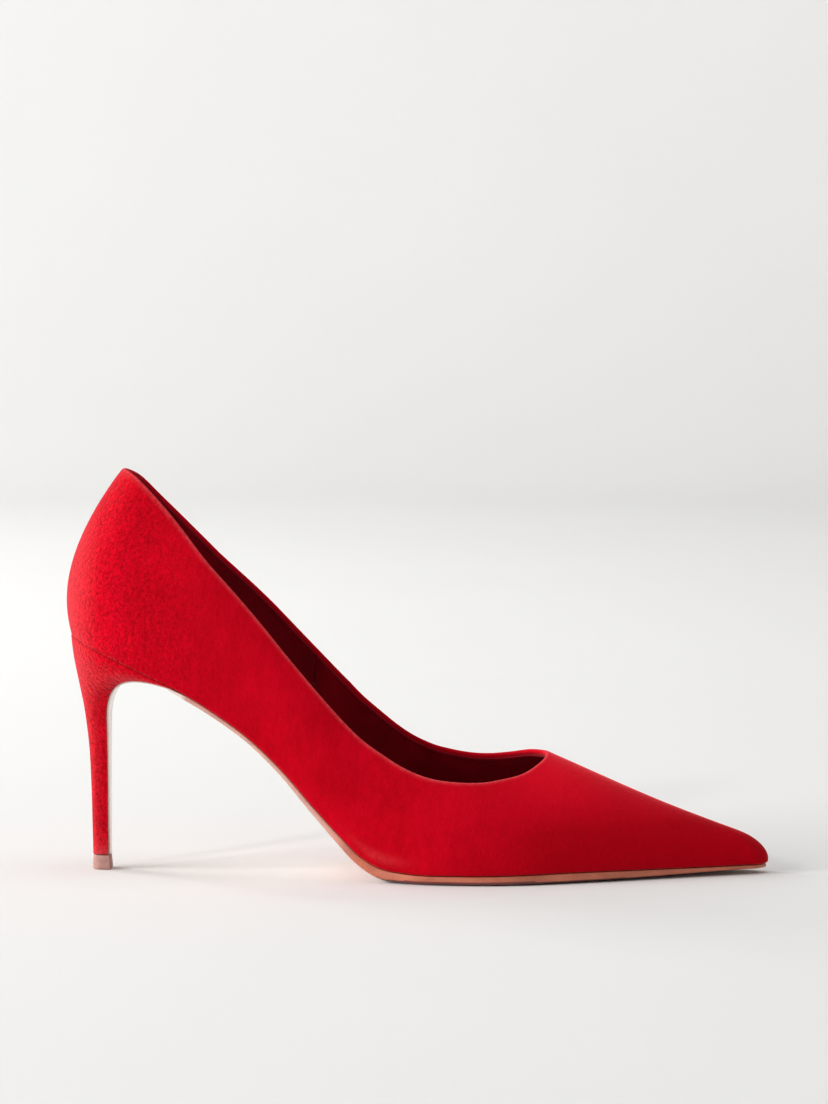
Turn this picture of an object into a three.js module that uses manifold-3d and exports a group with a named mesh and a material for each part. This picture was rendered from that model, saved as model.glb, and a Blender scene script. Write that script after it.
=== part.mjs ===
// High heel pump, the right shoe of a pair: a suede whole-cut upper over a last, a lining and its
// stiffeners, a lasting board with a steel shank, a leather outsole whose flap runs down the
// breast of the heel, and a covered stiletto heel on a small top piece.
// Units mm. +X points to the toe, +Z up, and the outer (lateral) side of the foot is -Y.
// While it is built, the origin is under the rearmost point of the shoe, on the ground.
import * as THREE from "three";
import Module from "manifold-3d";

const wasm = await Module();
wasm.setup();

// ---- driving dimensions ----
const SUEDE = 1.0; // thickness of the upper
const STIFFENER = [1.25, 1.75]; // depth of the stiffener layer under the outer face of the upper
const LINING = [2.0, 2.7]; // depth of the lining under the same face
const GRIP = [3.0, 3.5]; // depth of the heel grip
const MARGIN = 10; // width of the lasting margin turned in under the insole board
const EDGE_DROP = 0.9; // how far the lining stops below the edge of the upper
const TAPE = 5; // width of the topline tape

const GAP = 0.3; // clearance between glued layers
const BOARD = [SUEDE + GAP, 3.0]; // insole board, measured up from the feather edge
const SOCK = [3.3, 4.1];
const SHANK = [0.0, 1.0];
const INSET = 3.2; // the board stops this far inside the feather edge
const BOARD_CLEARANCE = 1.7; // height of the first row of the wall, clear of the lasting margin

const HEEL_COVER = 0.5; // suede round the heel
const HEEL_INSET = 0.7; // the core lies this far inside the covered heel
const WING_TIP = 0.257; // station of the last where the heel ends under the waist
const CUP_Z = 55; // height where the cup of the heel has become the stem
const TIP_Z = 5.2; // height of the top piece
const BREAST_X = 14.8; // front face of the stem
const FLAP = [0.2, 0.7]; // the flap of the outsole, measured out from the breast
const TUBE_X = 12.2; // axis of the steel tube in the stem

// ---- the last ----
// One row for each station t, from the centre of the back (0) to the tip of the toe (1): x of the
// feather edge, its half widths on the lateral and medial side, x and z of the virtual line that
// closes the last along its top, then how far the wall is pushed out and up from the feather
// edge (out1, up1) and out and down from the top line (out2, down2).
const LAST = [
  // t, x, lateral, medial, topX, topZ, out1, up1, out2, down2
  [0.0, 2.0, 0, 0, 25.6, 149.6, 3.5, 12.6, 27.3, 33],
  [0.1, 8.0, 17.5, 17.5, 27.6, 148.8, 3.0, 13.6, 16.6, 32],
  [0.2, 27, 26.3, 25.5, 35.4, 141, 1.5, 16, 6, 28],
  [0.3, 52, 26.0, 22.5, 53, 124.5, 1.5, 16, 9, 24],
  [0.4, 80, 25.5, 19.5, 76, 104, 3.0, 14, 14, 18],
  [0.5, 107, 30.5, 24.5, 101, 85.5, 3.0, 12, 17, 12],
  [0.6, 134, 37.3, 33.5, 126, 68, 2.5, 12, 19, 6],
  [0.7, 160, 37.0, 36.0, 150, 53, 2.0, 11, 18, 1.5],
  [0.8, 188, 28.2, 29.3, 183, 37.7, 1.5, 9, 16, 0],
  [0.9, 220, 14.9, 16.0, 214, 24.4, 1.2, 6.5, 9.5, 0],
  [0.96, 240, 7.1, 7.6, 232, 17.6, 1.2, 4.8, 5.5, 0],
  [0.985, 246.8, 4.3, 4.5, 238.6, 15.2, 1.4, 4.2, 4.6, 0],
  [1.0, 249.2, 0, 0, 241, 14.2, 1.6, 4.0, 4.5, 0],
];
const BACK_WIDENING = 175; // how fast the feather edge opens at the back, mm per unit of t
const TOE_NARROWING = -350;
const TOP_HALF_WIDTH = 17; // of the virtual top line at the ankle
const TOP_OPENS = 0.3; // station where the top line is widest
const RIDGE_STARTS = 0.72; // ahead of it the top line is the ridge of the vamp
const RIDGE_SLOPE = 0.43;

// Height of the feather edge along the shoe: heel seat, waist, tread and toe spring.
const SEAT = [
  [2, 84.6], [14, 79.6], [31, 72.0], [45, 64.8], [56, 57.8], [66, 50.4], [78, 39], [90, 25.4],
  [99, 15.9], [106, 9.2], [113, 5.3], [122, 3.8], [140, 3.5], [180, 4.0], [225, 3.6], [250, 3.6],
];
// Substance of the outsole along the shoe. It leaves the tread a slight rocker on the ground.
const SOLE_SUBSTANCE = [
  [40, 1.8], [90, 2.0], [104, 2.8], [114, 3.7], [122, 3.4], [134, 3.13], [143, 3.2],
  [160, 3.35], [180, 3.35], [205, 2.8], [232, 1.7], [250, 1.4],
];

// The topline on each side, as points (t, v) of the last: v is 0 on the feather edge, 1 on the top line.
const THROAT = 0.762;
const TOPLINE = {
  lateral: [
    [0, 0.936], [0.08, 0.928], [0.18, 0.906], [0.3, 0.808], [0.42, 0.673],
    [0.53, 0.552], [0.62, 0.49], [0.69, 0.549], [0.735, 0.692], [THROAT, 1],
  ],
  medial: [
    [0, 0.936], [0.08, 0.921], [0.18, 0.88], [0.3, 0.82], [0.42, 0.765],
    [0.53, 0.662], [0.62, 0.567], [0.69, 0.619], [0.735, 0.783], [THROAT, 1],
  ],
};

// Half width and rear edge of the heel stem at each height.
const STEM = [
  [TIP_Z, 3.6, 9.15], [15, 3.7, 8.95], [30, 4.0, 8.6], [45, 5.0, 7.85], [CUP_Z, 6.6, 6.7],
];

// Mesh density
const BACK_COLUMNS = 28; // per side, from the centre of the back to the throat
const FRONT_COLUMNS = 12; // per side, from the throat to the tip of the toe
const WALL_ROWS = 9;
const WING_COLUMNS = 9;
const CUP_ROWS = 8;

// ---- materials ----
const suede = new THREE.MeshStandardMaterial({ color: 0xb8061c, roughness: 0.95 });
const kid = new THREE.MeshStandardMaterial({ color: 0x5a0a12, roughness: 0.6 });
const leather = new THREE.MeshStandardMaterial({ color: 0xb97048, roughness: 0.5 });
const board = new THREE.MeshStandardMaterial({ color: 0x9a8a70, roughness: 0.9 });
const fabric = new THREE.MeshStandardMaterial({ color: 0xe6dfd0, roughness: 0.9 });
const foam = new THREE.MeshStandardMaterial({ color: 0xd9c7a8, roughness: 1.0 });
const plastic = new THREE.MeshStandardMaterial({ color: 0x2a2a2c, roughness: 0.5 });
const rubber = new THREE.MeshStandardMaterial({ color: 0xb08a74, roughness: 0.7 });
const steel = new THREE.MeshStandardMaterial({ color: 0x9da1a6, roughness: 0.3, metalness: 1 });

// ---- curves ----
/** A smooth function through [x, y] stations, held at its ends, with optional end slopes. */
function smooth(stations, firstSlope, lastSlope) {
  const n = stations.length;
  const rise = (i) => (stations[i + 1][1] - stations[i][1]) / (stations[i + 1][0] - stations[i][0]);
  const slopes = stations.map(([x], i) => {
    if (i === 0 || i === n - 1) return 0;
    const before = x - stations[i - 1][0];
    const after = stations[i + 1][0] - x;
    return (rise(i - 1) * after + rise(i) * before) / (before + after);
  });
  slopes[0] = firstSlope ?? 1.5 * rise(0) - 0.5 * slopes[1];
  slopes[n - 1] = lastSlope ?? 1.5 * rise(n - 2) - 0.5 * slopes[n - 2];
  return (at) => {
    const x = Math.min(Math.max(at, stations[0][0]), stations[n - 1][0]);
    const i = Math.max(0, stations.findLastIndex((s, k) => k < n - 1 && s[0] <= x));
    const width = stations[i + 1][0] - stations[i][0];
    const f = (x - stations[i][0]) / width;
    return (
      (1 + 2 * f) * (1 - f) ** 2 * stations[i][1] +
      f * (1 - f) ** 2 * width * slopes[i] +
      f * f * (3 - 2 * f) * stations[i + 1][1] +
      f * f * (f - 1) * width * slopes[i + 1]
    );
  };
}

/** The point at f on the cubic Bezier curve with these four control points. */
function bezier(a, b, c, d, f) {
  const g = 1 - f;
  return new THREE.Vector3()
    .addScaledVector(a, g ** 3)
    .addScaledVector(b, 3 * f * g * g)
    .addScaledVector(c, 3 * f * f * g)
    .addScaledVector(d, f ** 3);
}

/** Parameters of a curve, a function of 0..1, at these fractions of its length. */
function atLength(curve, fractions) {
  const steps = 400;
  const lengths = [0];
  for (let k = 1; k <= steps; k++) {
    lengths.push(lengths[k - 1] + curve(k / steps).distanceTo(curve((k - 1) / steps)));
  }
  return fractions.map((fraction) => {
    const wanted = fraction * lengths[steps];
    const k = Math.max(1, lengths.findIndex((length) => length >= wanted - 1e-9));
    const rest = (wanted - lengths[k - 1]) / (lengths[k] - lengths[k - 1]);
    return Math.min(1, (k - 1 + rest) / steps);
  });
}

const column = (index, first, last) => smooth(LAST.map((row) => [row[0], row[index]]), first, last);
const footX = column(1, 0, 0);
const halfWidth = {
  lateral: column(2, BACK_WIDENING, TOE_NARROWING),
  medial: column(3, BACK_WIDENING, TOE_NARROWING),
};
const [topX, topZ, out1, up1, out2, down2] = [4, 5, 6, 7, 8, 9].map((index) => column(index, 0));
const seatZ = smooth(SEAT);
const soleSubstance = smooth(SOLE_SUBSTANCE);
const SIDES = { lateral: -1, medial: 1 };
const UP = new THREE.Vector3(0, 0, 1);

// ---- the surface of the last ----
/** Unit normal of the seat profile at x, pointing up out of the shoe's bottom. */
function seatNormal(x) {
  const slope = (seatZ(x + 0.1) - seatZ(x - 0.1)) / 0.2;
  return new THREE.Vector3(-slope, 0, 1).normalize();
}

/** A point of the feather edge and its outward direction in plan. */
function feather(t, side) {
  const near = Math.max(0, t - 1e-4);
  const far = Math.min(1, t + 1e-4);
  const dx = footX(far) - footX(near);
  const dw = halfWidth[side](far) - halfWidth[side](near);
  const point = new THREE.Vector3(footX(t), SIDES[side] * halfWidth[side](t), seatZ(footX(t)));
  const outward = new THREE.Vector3(-dw, SIDES[side] * dx, 0).normalize();
  return { point, outward };
}

/** Half width of the virtual top line of the last. */
function topHalfWidth(t) {
  const opening = Math.sin((Math.PI / 2) * Math.min(1, t / TOP_OPENS));
  const closing = THREE.MathUtils.clamp((t - TOP_OPENS) / (RIDGE_STARTS - TOP_OPENS), 0, 1);
  return TOP_HALF_WIDTH * opening * Math.cos((Math.PI / 2) * closing) ** 2;
}

/** The point of the last at station t and girth v, 0 on the feather edge and 1 on the top line. */
function lastPoint(t, v, side) {
  const { point, outward } = feather(t, side);
  const top = new THREE.Vector3(topX(t), SIDES[side] * topHalfWidth(t), topZ(t));
  const lower = point.clone().addScaledVector(outward, out1(t));
  lower.z += up1(t);
  const upper = top.clone().addScaledVector(outward, out2(t));
  const onRidge = THREE.MathUtils.clamp((t - 0.6) / 0.12, 0, 1);
  upper.z -= down2(t) + Math.max(0, outward.x) * RIDGE_SLOPE * out2(t) * onRidge;
  return bezier(point, lower, upper, top, v);
}

/** Unit normal of the last at (t, v), pointing into the shoe. */
function lastInward(t, v, side) {
  const step = 1e-3;
  const t0 = Math.max(0, t - step);
  const t1 = Math.min(1, t + step);
  const along = lastPoint(t1, v, side).sub(lastPoint(t0, v, side));
  const v0 = Math.max(0, v - step);
  const v1 = Math.min(1, v + step);
  const up = lastPoint(t, v1, side).sub(lastPoint(t, v0, side));
  const normal = along.cross(up).multiplyScalar(-SIDES[side]);
  if (t === 0 || t === 1 || (v === 1 && t >= THROAT)) normal.y = 0;
  return normal.normalize().negate();
}

/** The topline on one side, as a function of 0..1 that gives [t, v]. */
function topline(side) {
  const points = TOPLINE[side];
  const marks = [0];
  for (let i = 1; i < points.length; i++) {
    const from = lastPoint(...points[i - 1], side);
    marks.push(marks[i - 1] + from.distanceTo(lastPoint(...points[i], side)));
  }
  const total = marks.at(-1);
  const station = smooth(points.map((p, i) => [marks[i] / total, p[0]]), undefined, 0);
  const girth = smooth(points.map((p, i) => [marks[i] / total, p[1]]), 0, undefined);
  return (f) => [station(f), girth(f)];
}

/** Stations of the feather edge, closer together at the back, at the throat and at the toe. */
const FRACTIONS = [];
for (let k = 0; k <= BACK_COLUMNS; k++) {
  const u = k / BACK_COLUMNS;
  FRACTIONS.push(u - (0.25 * Math.sin(2 * Math.PI * u)) / (2 * Math.PI));
}
const FEET = atLength((f) => feather(f * THROAT, "lateral").point, FRACTIONS).map((f) => f * THROAT);
for (let k = 1; k <= FRONT_COLUMNS; k++) {
  FEET.push(1 - (1 - THROAT) * (1 - k / FRONT_COLUMNS) ** 1.5);
}
const LAST_COLUMN = BACK_COLUMNS + FRONT_COLUMNS;

/** The columns of one side: each runs from (foot, 0) on the feather edge to (t, v) at its top. */
function columnsOf(side) {
  const edge = topline(side);
  const tops = atLength((f) => lastPoint(...edge(f), side), FRACTIONS);
  return FEET.map((foot, k) => {
    const [t, v] = k < BACK_COLUMNS ? edge(tops[k]) : [foot, 1];
    return { side, foot, t, v };
  });
}

const COLUMNS = { lateral: columnsOf("lateral"), medial: columnsOf("medial") };

/** The column at a whole or fractional index. */
function columnAt(side, index) {
  const k = Math.min(Math.floor(index), LAST_COLUMN - 1);
  const [a, b] = [COLUMNS[side][k], COLUMNS[side][k + 1]];
  const mix = (name) => THREE.MathUtils.lerp(a[name], b[name], index - k);
  return { side, foot: mix("foot"), t: mix("t"), v: mix("v") };
}

/** The columns of one side between two indices, which may be fractional. */
function run(side, from, to) {
  const columns = [columnAt(side, from)];
  for (let k = Math.floor(from) + 1; k < to; k++) columns.push(COLUMNS[side][k]);
  columns.push(columnAt(side, to));
  return side === "lateral" ? columns : columns.reverse();
}

/** Both sides from this column forward, as one run that crosses the toe. */
const acrossToe = (from) => [...run("lateral", from, LAST_COLUMN), ...run("medial", from, LAST_COLUMN)];

/** Both sides up to this column, as one run that crosses the back. */
const acrossBack = (to) => [...run("medial", 0, to), ...run("lateral", 0, to)];

/** Where row r of a column lies: row 1 is just above the lasting margin, the last row is the top. */
function place({ side, foot, t, v }, row) {
  const low = Math.min(0.2, BOARD_CLEARANCE / (3 * up1(foot)));
  const height = low + ((v - low) * (row - 1)) / (WALL_ROWS - 1);
  return [foot + ((t - foot) * height) / v, height, side];
}

/** Points of a column's wall at one depth under the outer face. */
function wall(line, depth, rows) {
  return rows.map((row) => {
    const at = place(line, row);
    return lastPoint(...at).addScaledVector(lastInward(...at), depth);
  });
}

/** The row that lies this far below the top of a column. */
function rowBelowTop(line, distance) {
  const top = lastPoint(...place(line, WALL_ROWS));
  const below = lastPoint(...place(line, WALL_ROWS - 1));
  return WALL_ROWS - distance / top.distanceTo(below);
}

/** Whole numbers from one to another. */
const count = (from, to) => Array.from({ length: to - from + 1 }, (_, i) => from + i);

// ---- solids ----
/** A closed geometry with its faces turned out. */
function solid(points, triangles) {
  const volume = triangles.reduce((sum, [a, b, c]) => {
    return sum + points[a].dot(points[b].clone().cross(points[c]));
  }, 0);
  const faces = volume < 0 ? triangles.map(([a, b, c]) => [a, c, b]) : triangles;
  const geometry = new THREE.BufferGeometry().setFromPoints(points);
  geometry.setIndex(faces.flat());
  return geometry;
}

/** Gathers points, giving those at the same place the same number. */
function welder() {
  const points = [];
  const numbers = new Map();
  const add = (point) => {
    const key = point.toArray().map((value) => Math.round(value * 500) + 0).join();
    if (!numbers.has(key)) numbers.set(key, points.push(point) - 1);
    return numbers.get(key);
  };
  return { points, add };
}

/** The triangles between rows of point numbers, without those that have shrunk to a line. */
function skin(rows) {
  const triangles = [];
  for (let i = 0; i + 1 < rows.length; i++) {
    for (let j = 0; j + 1 < rows[i].length; j++) {
      const [a, b] = [rows[i][j], rows[i][j + 1]];
      const [c, d] = [rows[i + 1][j], rows[i + 1][j + 1]];
      triangles.push([a, c, b], [b, c, d]);
    }
  }
  return triangles.filter(([a, b, c]) => a !== b && b !== c && c !== a);
}

/** A sheet with thickness, from grids of points on its outer face and the same grids on its inner. */
function shell(outer, inner) {
  const { points, add } = welder();
  const under = [];
  const face = outer.flatMap((grid, g) => {
    const numbers = grid.map((line) => line.map(add));
    numbers.forEach((line, i) => line.forEach((number, j) => (under[number] = inner[g][i][j])));
    return skin(numbers);
  });
  const shift = points.length;
  const triangles = [...face, ...face.map(([a, b, c]) => [a + shift, c + shift, b + shift])];
  const edges = new Set(face.flatMap(([a, b, c]) => [`${a},${b}`, `${b},${c}`, `${c},${a}`]));
  for (const edge of edges) {
    const [a, b] = edge.split(",").map(Number);
    if (edges.has(`${b},${a}`)) continue;
    triangles.push([b, a, a + shift], [b, a + shift, b + shift]);
  }
  return solid([...points, ...under], triangles);
}

/** A body through closed rings of points, each end capped by strips across the ring's two halves. */
function loft(rings) {
  const { points, add } = welder();
  const numbers = rings.map((ring) => ring.map(add));
  const closed = numbers.map((ring) => [...ring, ring[0]]);
  const cap = (ring) => {
    const half = ring.length / 2;
    return skin([ring.slice(0, Math.ceil(half)), ring.slice(Math.floor(half)).reverse()]);
  };
  const first = cap(numbers[0]).map(([a, b, c]) => [a, c, b]);
  return solid(points, [...first, ...skin(closed), ...cap(numbers.at(-1))]);
}

/** A body of revolution about +Z from a profile of [radius, z] that starts and ends on the axis. */
function turned(profile, sides) {
  const points = profile.map(([radius, z]) => new THREE.Vector2(radius, z));
  return new THREE.LatheGeometry(points, sides).rotateX(Math.PI / 2);
}

/** A round rod along +Z between two heights. */
function rod(radius, bottom, top, sides) {
  return turned([[0, bottom], [radius, bottom], [radius, top], [0, top]], sides);
}

/** A geometry as a manifold-3d solid. */
function toManifold(geometry) {
  const { points, add } = welder();
  const position = geometry.getAttribute("position");
  const numbers = Array.from({ length: position.count }, (_, i) => {
    return add(new THREE.Vector3().fromBufferAttribute(position, i));
  });
  const corners = Array.from(geometry.index.array, (i) => numbers[i]);
  const triVerts = [];
  for (let i = 0; i < corners.length; i += 3) {
    const [a, b, c] = corners.slice(i, i + 3);
    if (a !== b && b !== c && c !== a) triVerts.push(a, b, c);
  }
  const vertProperties = new Float32Array(points.flatMap((point) => point.toArray()));
  const mesh = new wasm.Mesh({ numProp: 3, vertProperties, triVerts: new Uint32Array(triVerts) });
  return new wasm.Manifold(mesh);
}

/** A geometry with these bores cut out of it. */
function drilled(geometry, bores) {
  const result = bores.reduce((body, bore) => body.subtract(toManifold(bore)), toManifold(geometry));
  const { vertProperties, triVerts } = result.getMesh();
  const made = new THREE.BufferGeometry();
  made.setAttribute("position", new THREE.BufferAttribute(new Float32Array(vertProperties), 3));
  made.setIndex(new THREE.BufferAttribute(new Uint32Array(triVerts), 1));
  return made;
}

/** The place of something that stands on the seat at (x, y), square to it. */
function seatPlace([x, y]) {
  const quaternion = new THREE.Quaternion().setFromUnitVectors(UP, seatNormal(x));
  return { position: new THREE.Vector3(x, y, seatZ(x)), quaternion };
}

/** The place of something that stands on the axis of the heel's steel tube. */
function stemPlace() {
  return { position: new THREE.Vector3(TUBE_X, 0, 0), quaternion: new THREE.Quaternion() };
}

/** A geometry moved to a place, for cutting it out of another one. */
function placed(geometry, { position, quaternion }) {
  return geometry.clone().applyQuaternion(quaternion).translate(...position.toArray());
}

// ---- upper, stiffeners and lining ----
/** The inner edge of the lasting margin below a column. */
function marginEdge({ side, foot }) {
  const { point } = feather(foot, side);
  const spine = new THREE.Vector3(THREE.MathUtils.clamp(point.x, 27, 234), 0, 0);
  const toSpine = spine.sub(point).setZ(0);
  const reach = Math.min(MARGIN, 0.7 * toSpine.length());
  const edge = point.clone().addScaledVector(toSpine.normalize(), reach);
  return edge.setZ(seatZ(edge.x));
}

/** One column of the upper: the edge of its margin, the turn at the feather, then the wall. */
function upperLine(line, depth) {
  const edge = marginEdge(line);
  const { point } = feather(line.foot, line.side);
  const up = seatNormal(point.x);
  const inward = lastInward(line.foot, 0, line.side);
  const mitre = inward.clone().add(up).divideScalar(1 + inward.dot(up));
  return [
    edge.addScaledVector(seatNormal(edge.x), depth),
    point.addScaledVector(mitre, depth),
    ...wall(line, depth, count(1, WALL_ROWS)),
  ];
}

function upper() {
  const ring = [...acrossToe(0), COLUMNS.lateral[0]];
  const face = (depth) => [ring.map((line) => upperLine(line, depth))];
  return shell(face(0), face(SUEDE));
}

/** A piece of the layered wall: runs of columns, its two depths, and the rows of each column. */
function layer(runs, [outer, inner], rowsOf) {
  const face = (depth) => runs.map((lines) => lines.map((line) => wall(line, depth, rowsOf(line))));
  return shell(face(outer), face(inner));
}

/** Rows of the lining, which stops a little below the edge of the upper. */
function liningRows(line) {
  const top = line.v < 1 ? rowBelowTop(line, EDGE_DROP) : WALL_ROWS;
  return [...count(1, WALL_ROWS - 1), top];
}

const QUARTER_END = 14; // column where a quarter lining meets the vamp lining
const VAMP_LINING_END = 34;
const COUNTER_END = 9;
const PUFF_START = 34;
const SEAM = 0.05; // half the gap between neighbouring pieces, in columns

const vampLining = () => {
  const runs = ["lateral", "medial"].map((side) => run(side, QUARTER_END + SEAM, VAMP_LINING_END));
  return layer(runs, LINING, liningRows);
};

const quarterLining = (side) => layer([run(side, SEAM, QUARTER_END - SEAM)], LINING, liningRows);

const heelGrip = () => layer([acrossBack(5)], GRIP, (line) => liningRows(line).slice(1));

/** The counter is high at the back and runs down towards the waist. */
function heelCounter() {
  const lowering = (line) => 6.5 - 2.2 * (line.foot / COLUMNS.lateral[COUNTER_END].foot) ** 2;
  const rows = (line) => [...count(1, 4), (4 + lowering(line)) / 2, lowering(line)];
  return layer([acrossBack(COUNTER_END)], STIFFENER, rows);
}

const toePuff = () => layer([acrossToe(PUFF_START)], STIFFENER, () => count(1, WALL_ROWS));

/** A side interlining, from the counter to the toe puff and up to the tape. */
function interlining(side) {
  const lines = run(side, COUNTER_END + SEAM, PUFF_START - SEAM);
  const top = (line) => Math.min(7, rowBelowTop(line, TAPE + 0.5));
  return layer([lines], STIFFENER, (line) => [...count(1, 6), top(line)]);
}

/** A tape along the topline of one side, from the back seam to the throat. */
function toplineTape(side) {
  const rows = (line) => [rowBelowTop(line, TAPE), rowBelowTop(line, EDGE_DROP)];
  return layer([run(side, SEAM, BACK_COLUMNS - 2)], STIFFENER, rows);
}

// ---- bottom ----
/** A point over the seat, this far inside the feather edge and this high above it. */
function onBottom(t, side, inset, height) {
  const { point, outward } = feather(t, side);
  const place = point.addScaledVector(outward, -inset);
  place.z = seatZ(place.x);
  return place.addScaledVector(seatNormal(place.x), height);
}

/** A flat layer of the bottom that follows the outline of the shoe between two columns. */
function plate([low, high], inset, from, to) {
  const ring = (t) => [
    onBottom(t, "lateral", inset, low),
    onBottom(t, "lateral", inset, high),
    onBottom(t, "medial", inset, high),
    onBottom(t, "medial", inset, low),
  ];
  return loft(FEET.slice(from, to + 1).map(ring));
}

/** A straight layer of the bottom along the middle of the shoe. */
function strip([low, high], half, from, to) {
  const inside = FEET.map(footX).filter((x) => x > from + 1 && x < to - 1);
  const at = (x, y, height) => {
    return new THREE.Vector3(x, y, seatZ(x)).addScaledVector(seatNormal(x), height);
  };
  const ring = (x) => [at(x, -half, low), at(x, -half, high), at(x, half, high), at(x, half, low)];
  return loft([from, ...inside, to].map(ring));
}

/** A ring of the outsole under the shoe: a flat bottom, a rounded lower edge and a flat top. */
function soleRing(t) {
  const substance = soleSubstance(footX(t));
  const waist = THREE.MathUtils.smoothstep(footX(t), 95, 125);
  const edge = THREE.MathUtils.lerp(1.6, 0.5, waist);
  const round = THREE.MathUtils.lerp(1.5, 3.5, waist);
  const above = (lowest, point) => point.setZ(Math.max(lowest, point.z));
  const half = (side) => [
    above(0, onBottom(t, side, edge + round, -GAP - substance)),
    above(0.7, onBottom(t, side, edge, -GAP - 0.75 * substance)),
    onBottom(t, side, edge, -GAP),
  ];
  return [...half("lateral"), ...half("medial").reverse()];
}

/** A ring of the flap that the outsole sends down the breast, at a fraction of the way down. */
function flapRing(from, to) {
  const along = to.clone().sub(from);
  const out = new THREE.Vector3(-along.z, 0, along.x).normalize();
  const width = Math.abs(from.y) - 0.8;
  const at = (y, distance) => from.clone().setY(y).addScaledVector(out, distance);
  const edge = FLAP[0] + 0.6 * (FLAP[1] - FLAP[0]);
  const half = (sign) => [
    at(sign * (width - 0.8), FLAP[1]),
    at(sign * width, edge),
    at(sign * width, FLAP[0]),
  ];
  return [...half(-1), ...half(1).reverse()];
}

function outsole() {
  const under = FEET.filter((t) => t > WING_TIP + 0.02).reverse();
  const breast = heelColumn(1, 0).slice(1);
  const flap = breast.slice(0, -1).map((point, k) => flapRing(point, breast[k + 1]));
  const end = breast.at(-1);
  flap.push(flapRing(end, end.clone().setZ(end.z - 1)));
  return loft([...under.map(soleRing), ...flap]);
}

// ---- heel ----
const stemHalfWidth = smooth(STEM.map(([z, half]) => [z, half]));
const stemRear = smooth(STEM.map(([z, , rear]) => [z, rear]));

/** A point round the D-shaped stem: a is 0 at the rear and 1 or -1 at the corners of the breast. */
function stemPoint(a, z, inset, front = BREAST_X) {
  const share = Math.abs(a);
  const rear = stemRear(z) + inset;
  const x = rear + (front - rear) * (1 - Math.cos((share * Math.PI) / 2));
  const half = stemHalfWidth(z) - inset;
  const y = half * Math.sin((Math.min(1, share / 0.7) * Math.PI) / 2);
  return new THREE.Vector3(x, Math.sign(a) * y, z);
}

/** One line down the side of the heel, from the seat through the cup and down the stem. */
function heelColumn(a, inset) {
  const share = Math.abs(a);
  const side = a < 0 ? "lateral" : "medial";
  const lerp = (rear, wing, f) => new THREE.Vector3(...rear).lerp(new THREE.Vector3(...wing), f);
  const top = onBottom(WING_TIP * share, side, inset, -GAP);
  const bottom = stemPoint(a, CUP_Z, inset);
  const below = lerp([0.4, 0, -9], [-14, -SIDES[side], 4.5], share ** 3).add(top);
  const above = lerp([-1.2, 0, 9], [0.3, 3 * SIDES[side], 16], share ** 2).add(bottom);
  const cup = count(0, CUP_ROWS).map((k) => bezier(top, below, above, bottom, k / CUP_ROWS));
  const stem = [45, 30, 15, TIP_Z + GAP].map((z) => stemPoint(a, z, inset));
  return [...cup, ...stem];
}

/** The lines down the heel from one corner of the breast round the back to the other. */
function heelColumns(inset) {
  const shares = count(-WING_COLUMNS, WING_COLUMNS).map((k) => k / WING_COLUMNS);
  return shares.map((a) => heelColumn(a, inset));
}

const heelCover = () => shell([heelColumns(0)], [heelColumns(HEEL_COVER)]);

function heelBlock() {
  const columns = heelColumns(HEEL_INSET);
  return loft(columns[0].map((_, row) => columns.map((line) => line[row])));
}

/** The top piece: a small block that flares a little towards the ground, most of all at its front. */
function topPieceBlock() {
  const front = BREAST_X + FLAP[1];
  const shares = count(-WING_COLUMNS, WING_COLUMNS).map((k) => k / WING_COLUMNS);
  const ring = (z, flare) => {
    return shares.map((a) => stemPoint(a, TIP_Z, -flare, front + 2 * flare).setZ(z));
  };
  return loft([ring(0, 0.1), ring(1.2, 0.1), ring(TIP_Z, -0.05)]);
}

// ---- fasteners ----
const SCREW = { shaft: 1.8, head: 3.2, length: 13, headHeight: 1.4 };
const NAIL = { shaft: 0.8, head: 1.5, length: 5.5, headHeight: 0.8 };
const RIVET = { shaft: 1.5, head: 2.5, length: 1.9, headHeight: 0.9 };
const SCREW_AT = [20, 0]; // (x, y) on the seat
const NAILS = [[17.5, -7.5], [17.5, 7.5], [24.5, -8], [24.5, 8]];
const RIVETS = { front: [92, 0], rear: [52, 0] };
const TUBE = { outer: 1.3, inner: 0.85, bottom: TIP_Z + GAP, top: 54 };
const PIN = { radius: 0.7, bottom: 1.5, top: 17 };
const FIT = 0.2; // clearance round a pin in its bore

/** A flat-headed fastener whose head lies in the insole board, ending this far below it. */
function fastener({ shaft, head, length, headHeight }) {
  const top = BOARD[1] - 0.1;
  const neck = top - headHeight;
  const end = neck - length;
  return turned([[0, end], [shaft, end], [shaft, neck], [head, neck], [head, top], [0, top]], 16);
}

/** The bore for a fastener of this radius, through all the layers of the bottom. */
const bore = (radius, at, depth) => placed(rod(radius + FIT, -depth, 8, 16), seatPlace(at));

function heelTube() {
  const { outer, inner, bottom, top } = TUBE;
  const section = [[inner, bottom], [outer, bottom], [outer, top], [inner, top], [inner, bottom]];
  return turned(section, 16);
}

function heelCore() {
  const stem = placed(rod(TUBE.outer + FIT, 0, TUBE.top + FIT, 16), stemPlace());
  const nails = NAILS.map((at) => bore(NAIL.shaft, at, NAIL.length));
  return drilled(heelBlock(), [stem, bore(SCREW.shaft, SCREW_AT, SCREW.length), ...nails]);
}

function insoleBoard() {
  const heads = [
    bore(SCREW.head, SCREW_AT, 1),
    ...NAILS.map((at) => bore(NAIL.head, at, 1)),
    ...Object.values(RIVETS).map((at) => bore(RIVET.head, at, 1)),
  ];
  return drilled(plate(BOARD, INSET, 0, LAST_COLUMN), heads);
}

function shank() {
  const rivets = Object.values(RIVETS).map((at) => bore(RIVET.shaft, at, 2));
  return drilled(strip(SHANK, 5, 14, 99), [bore(SCREW.shaft, SCREW_AT, 2), ...rivets]);
}

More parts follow.
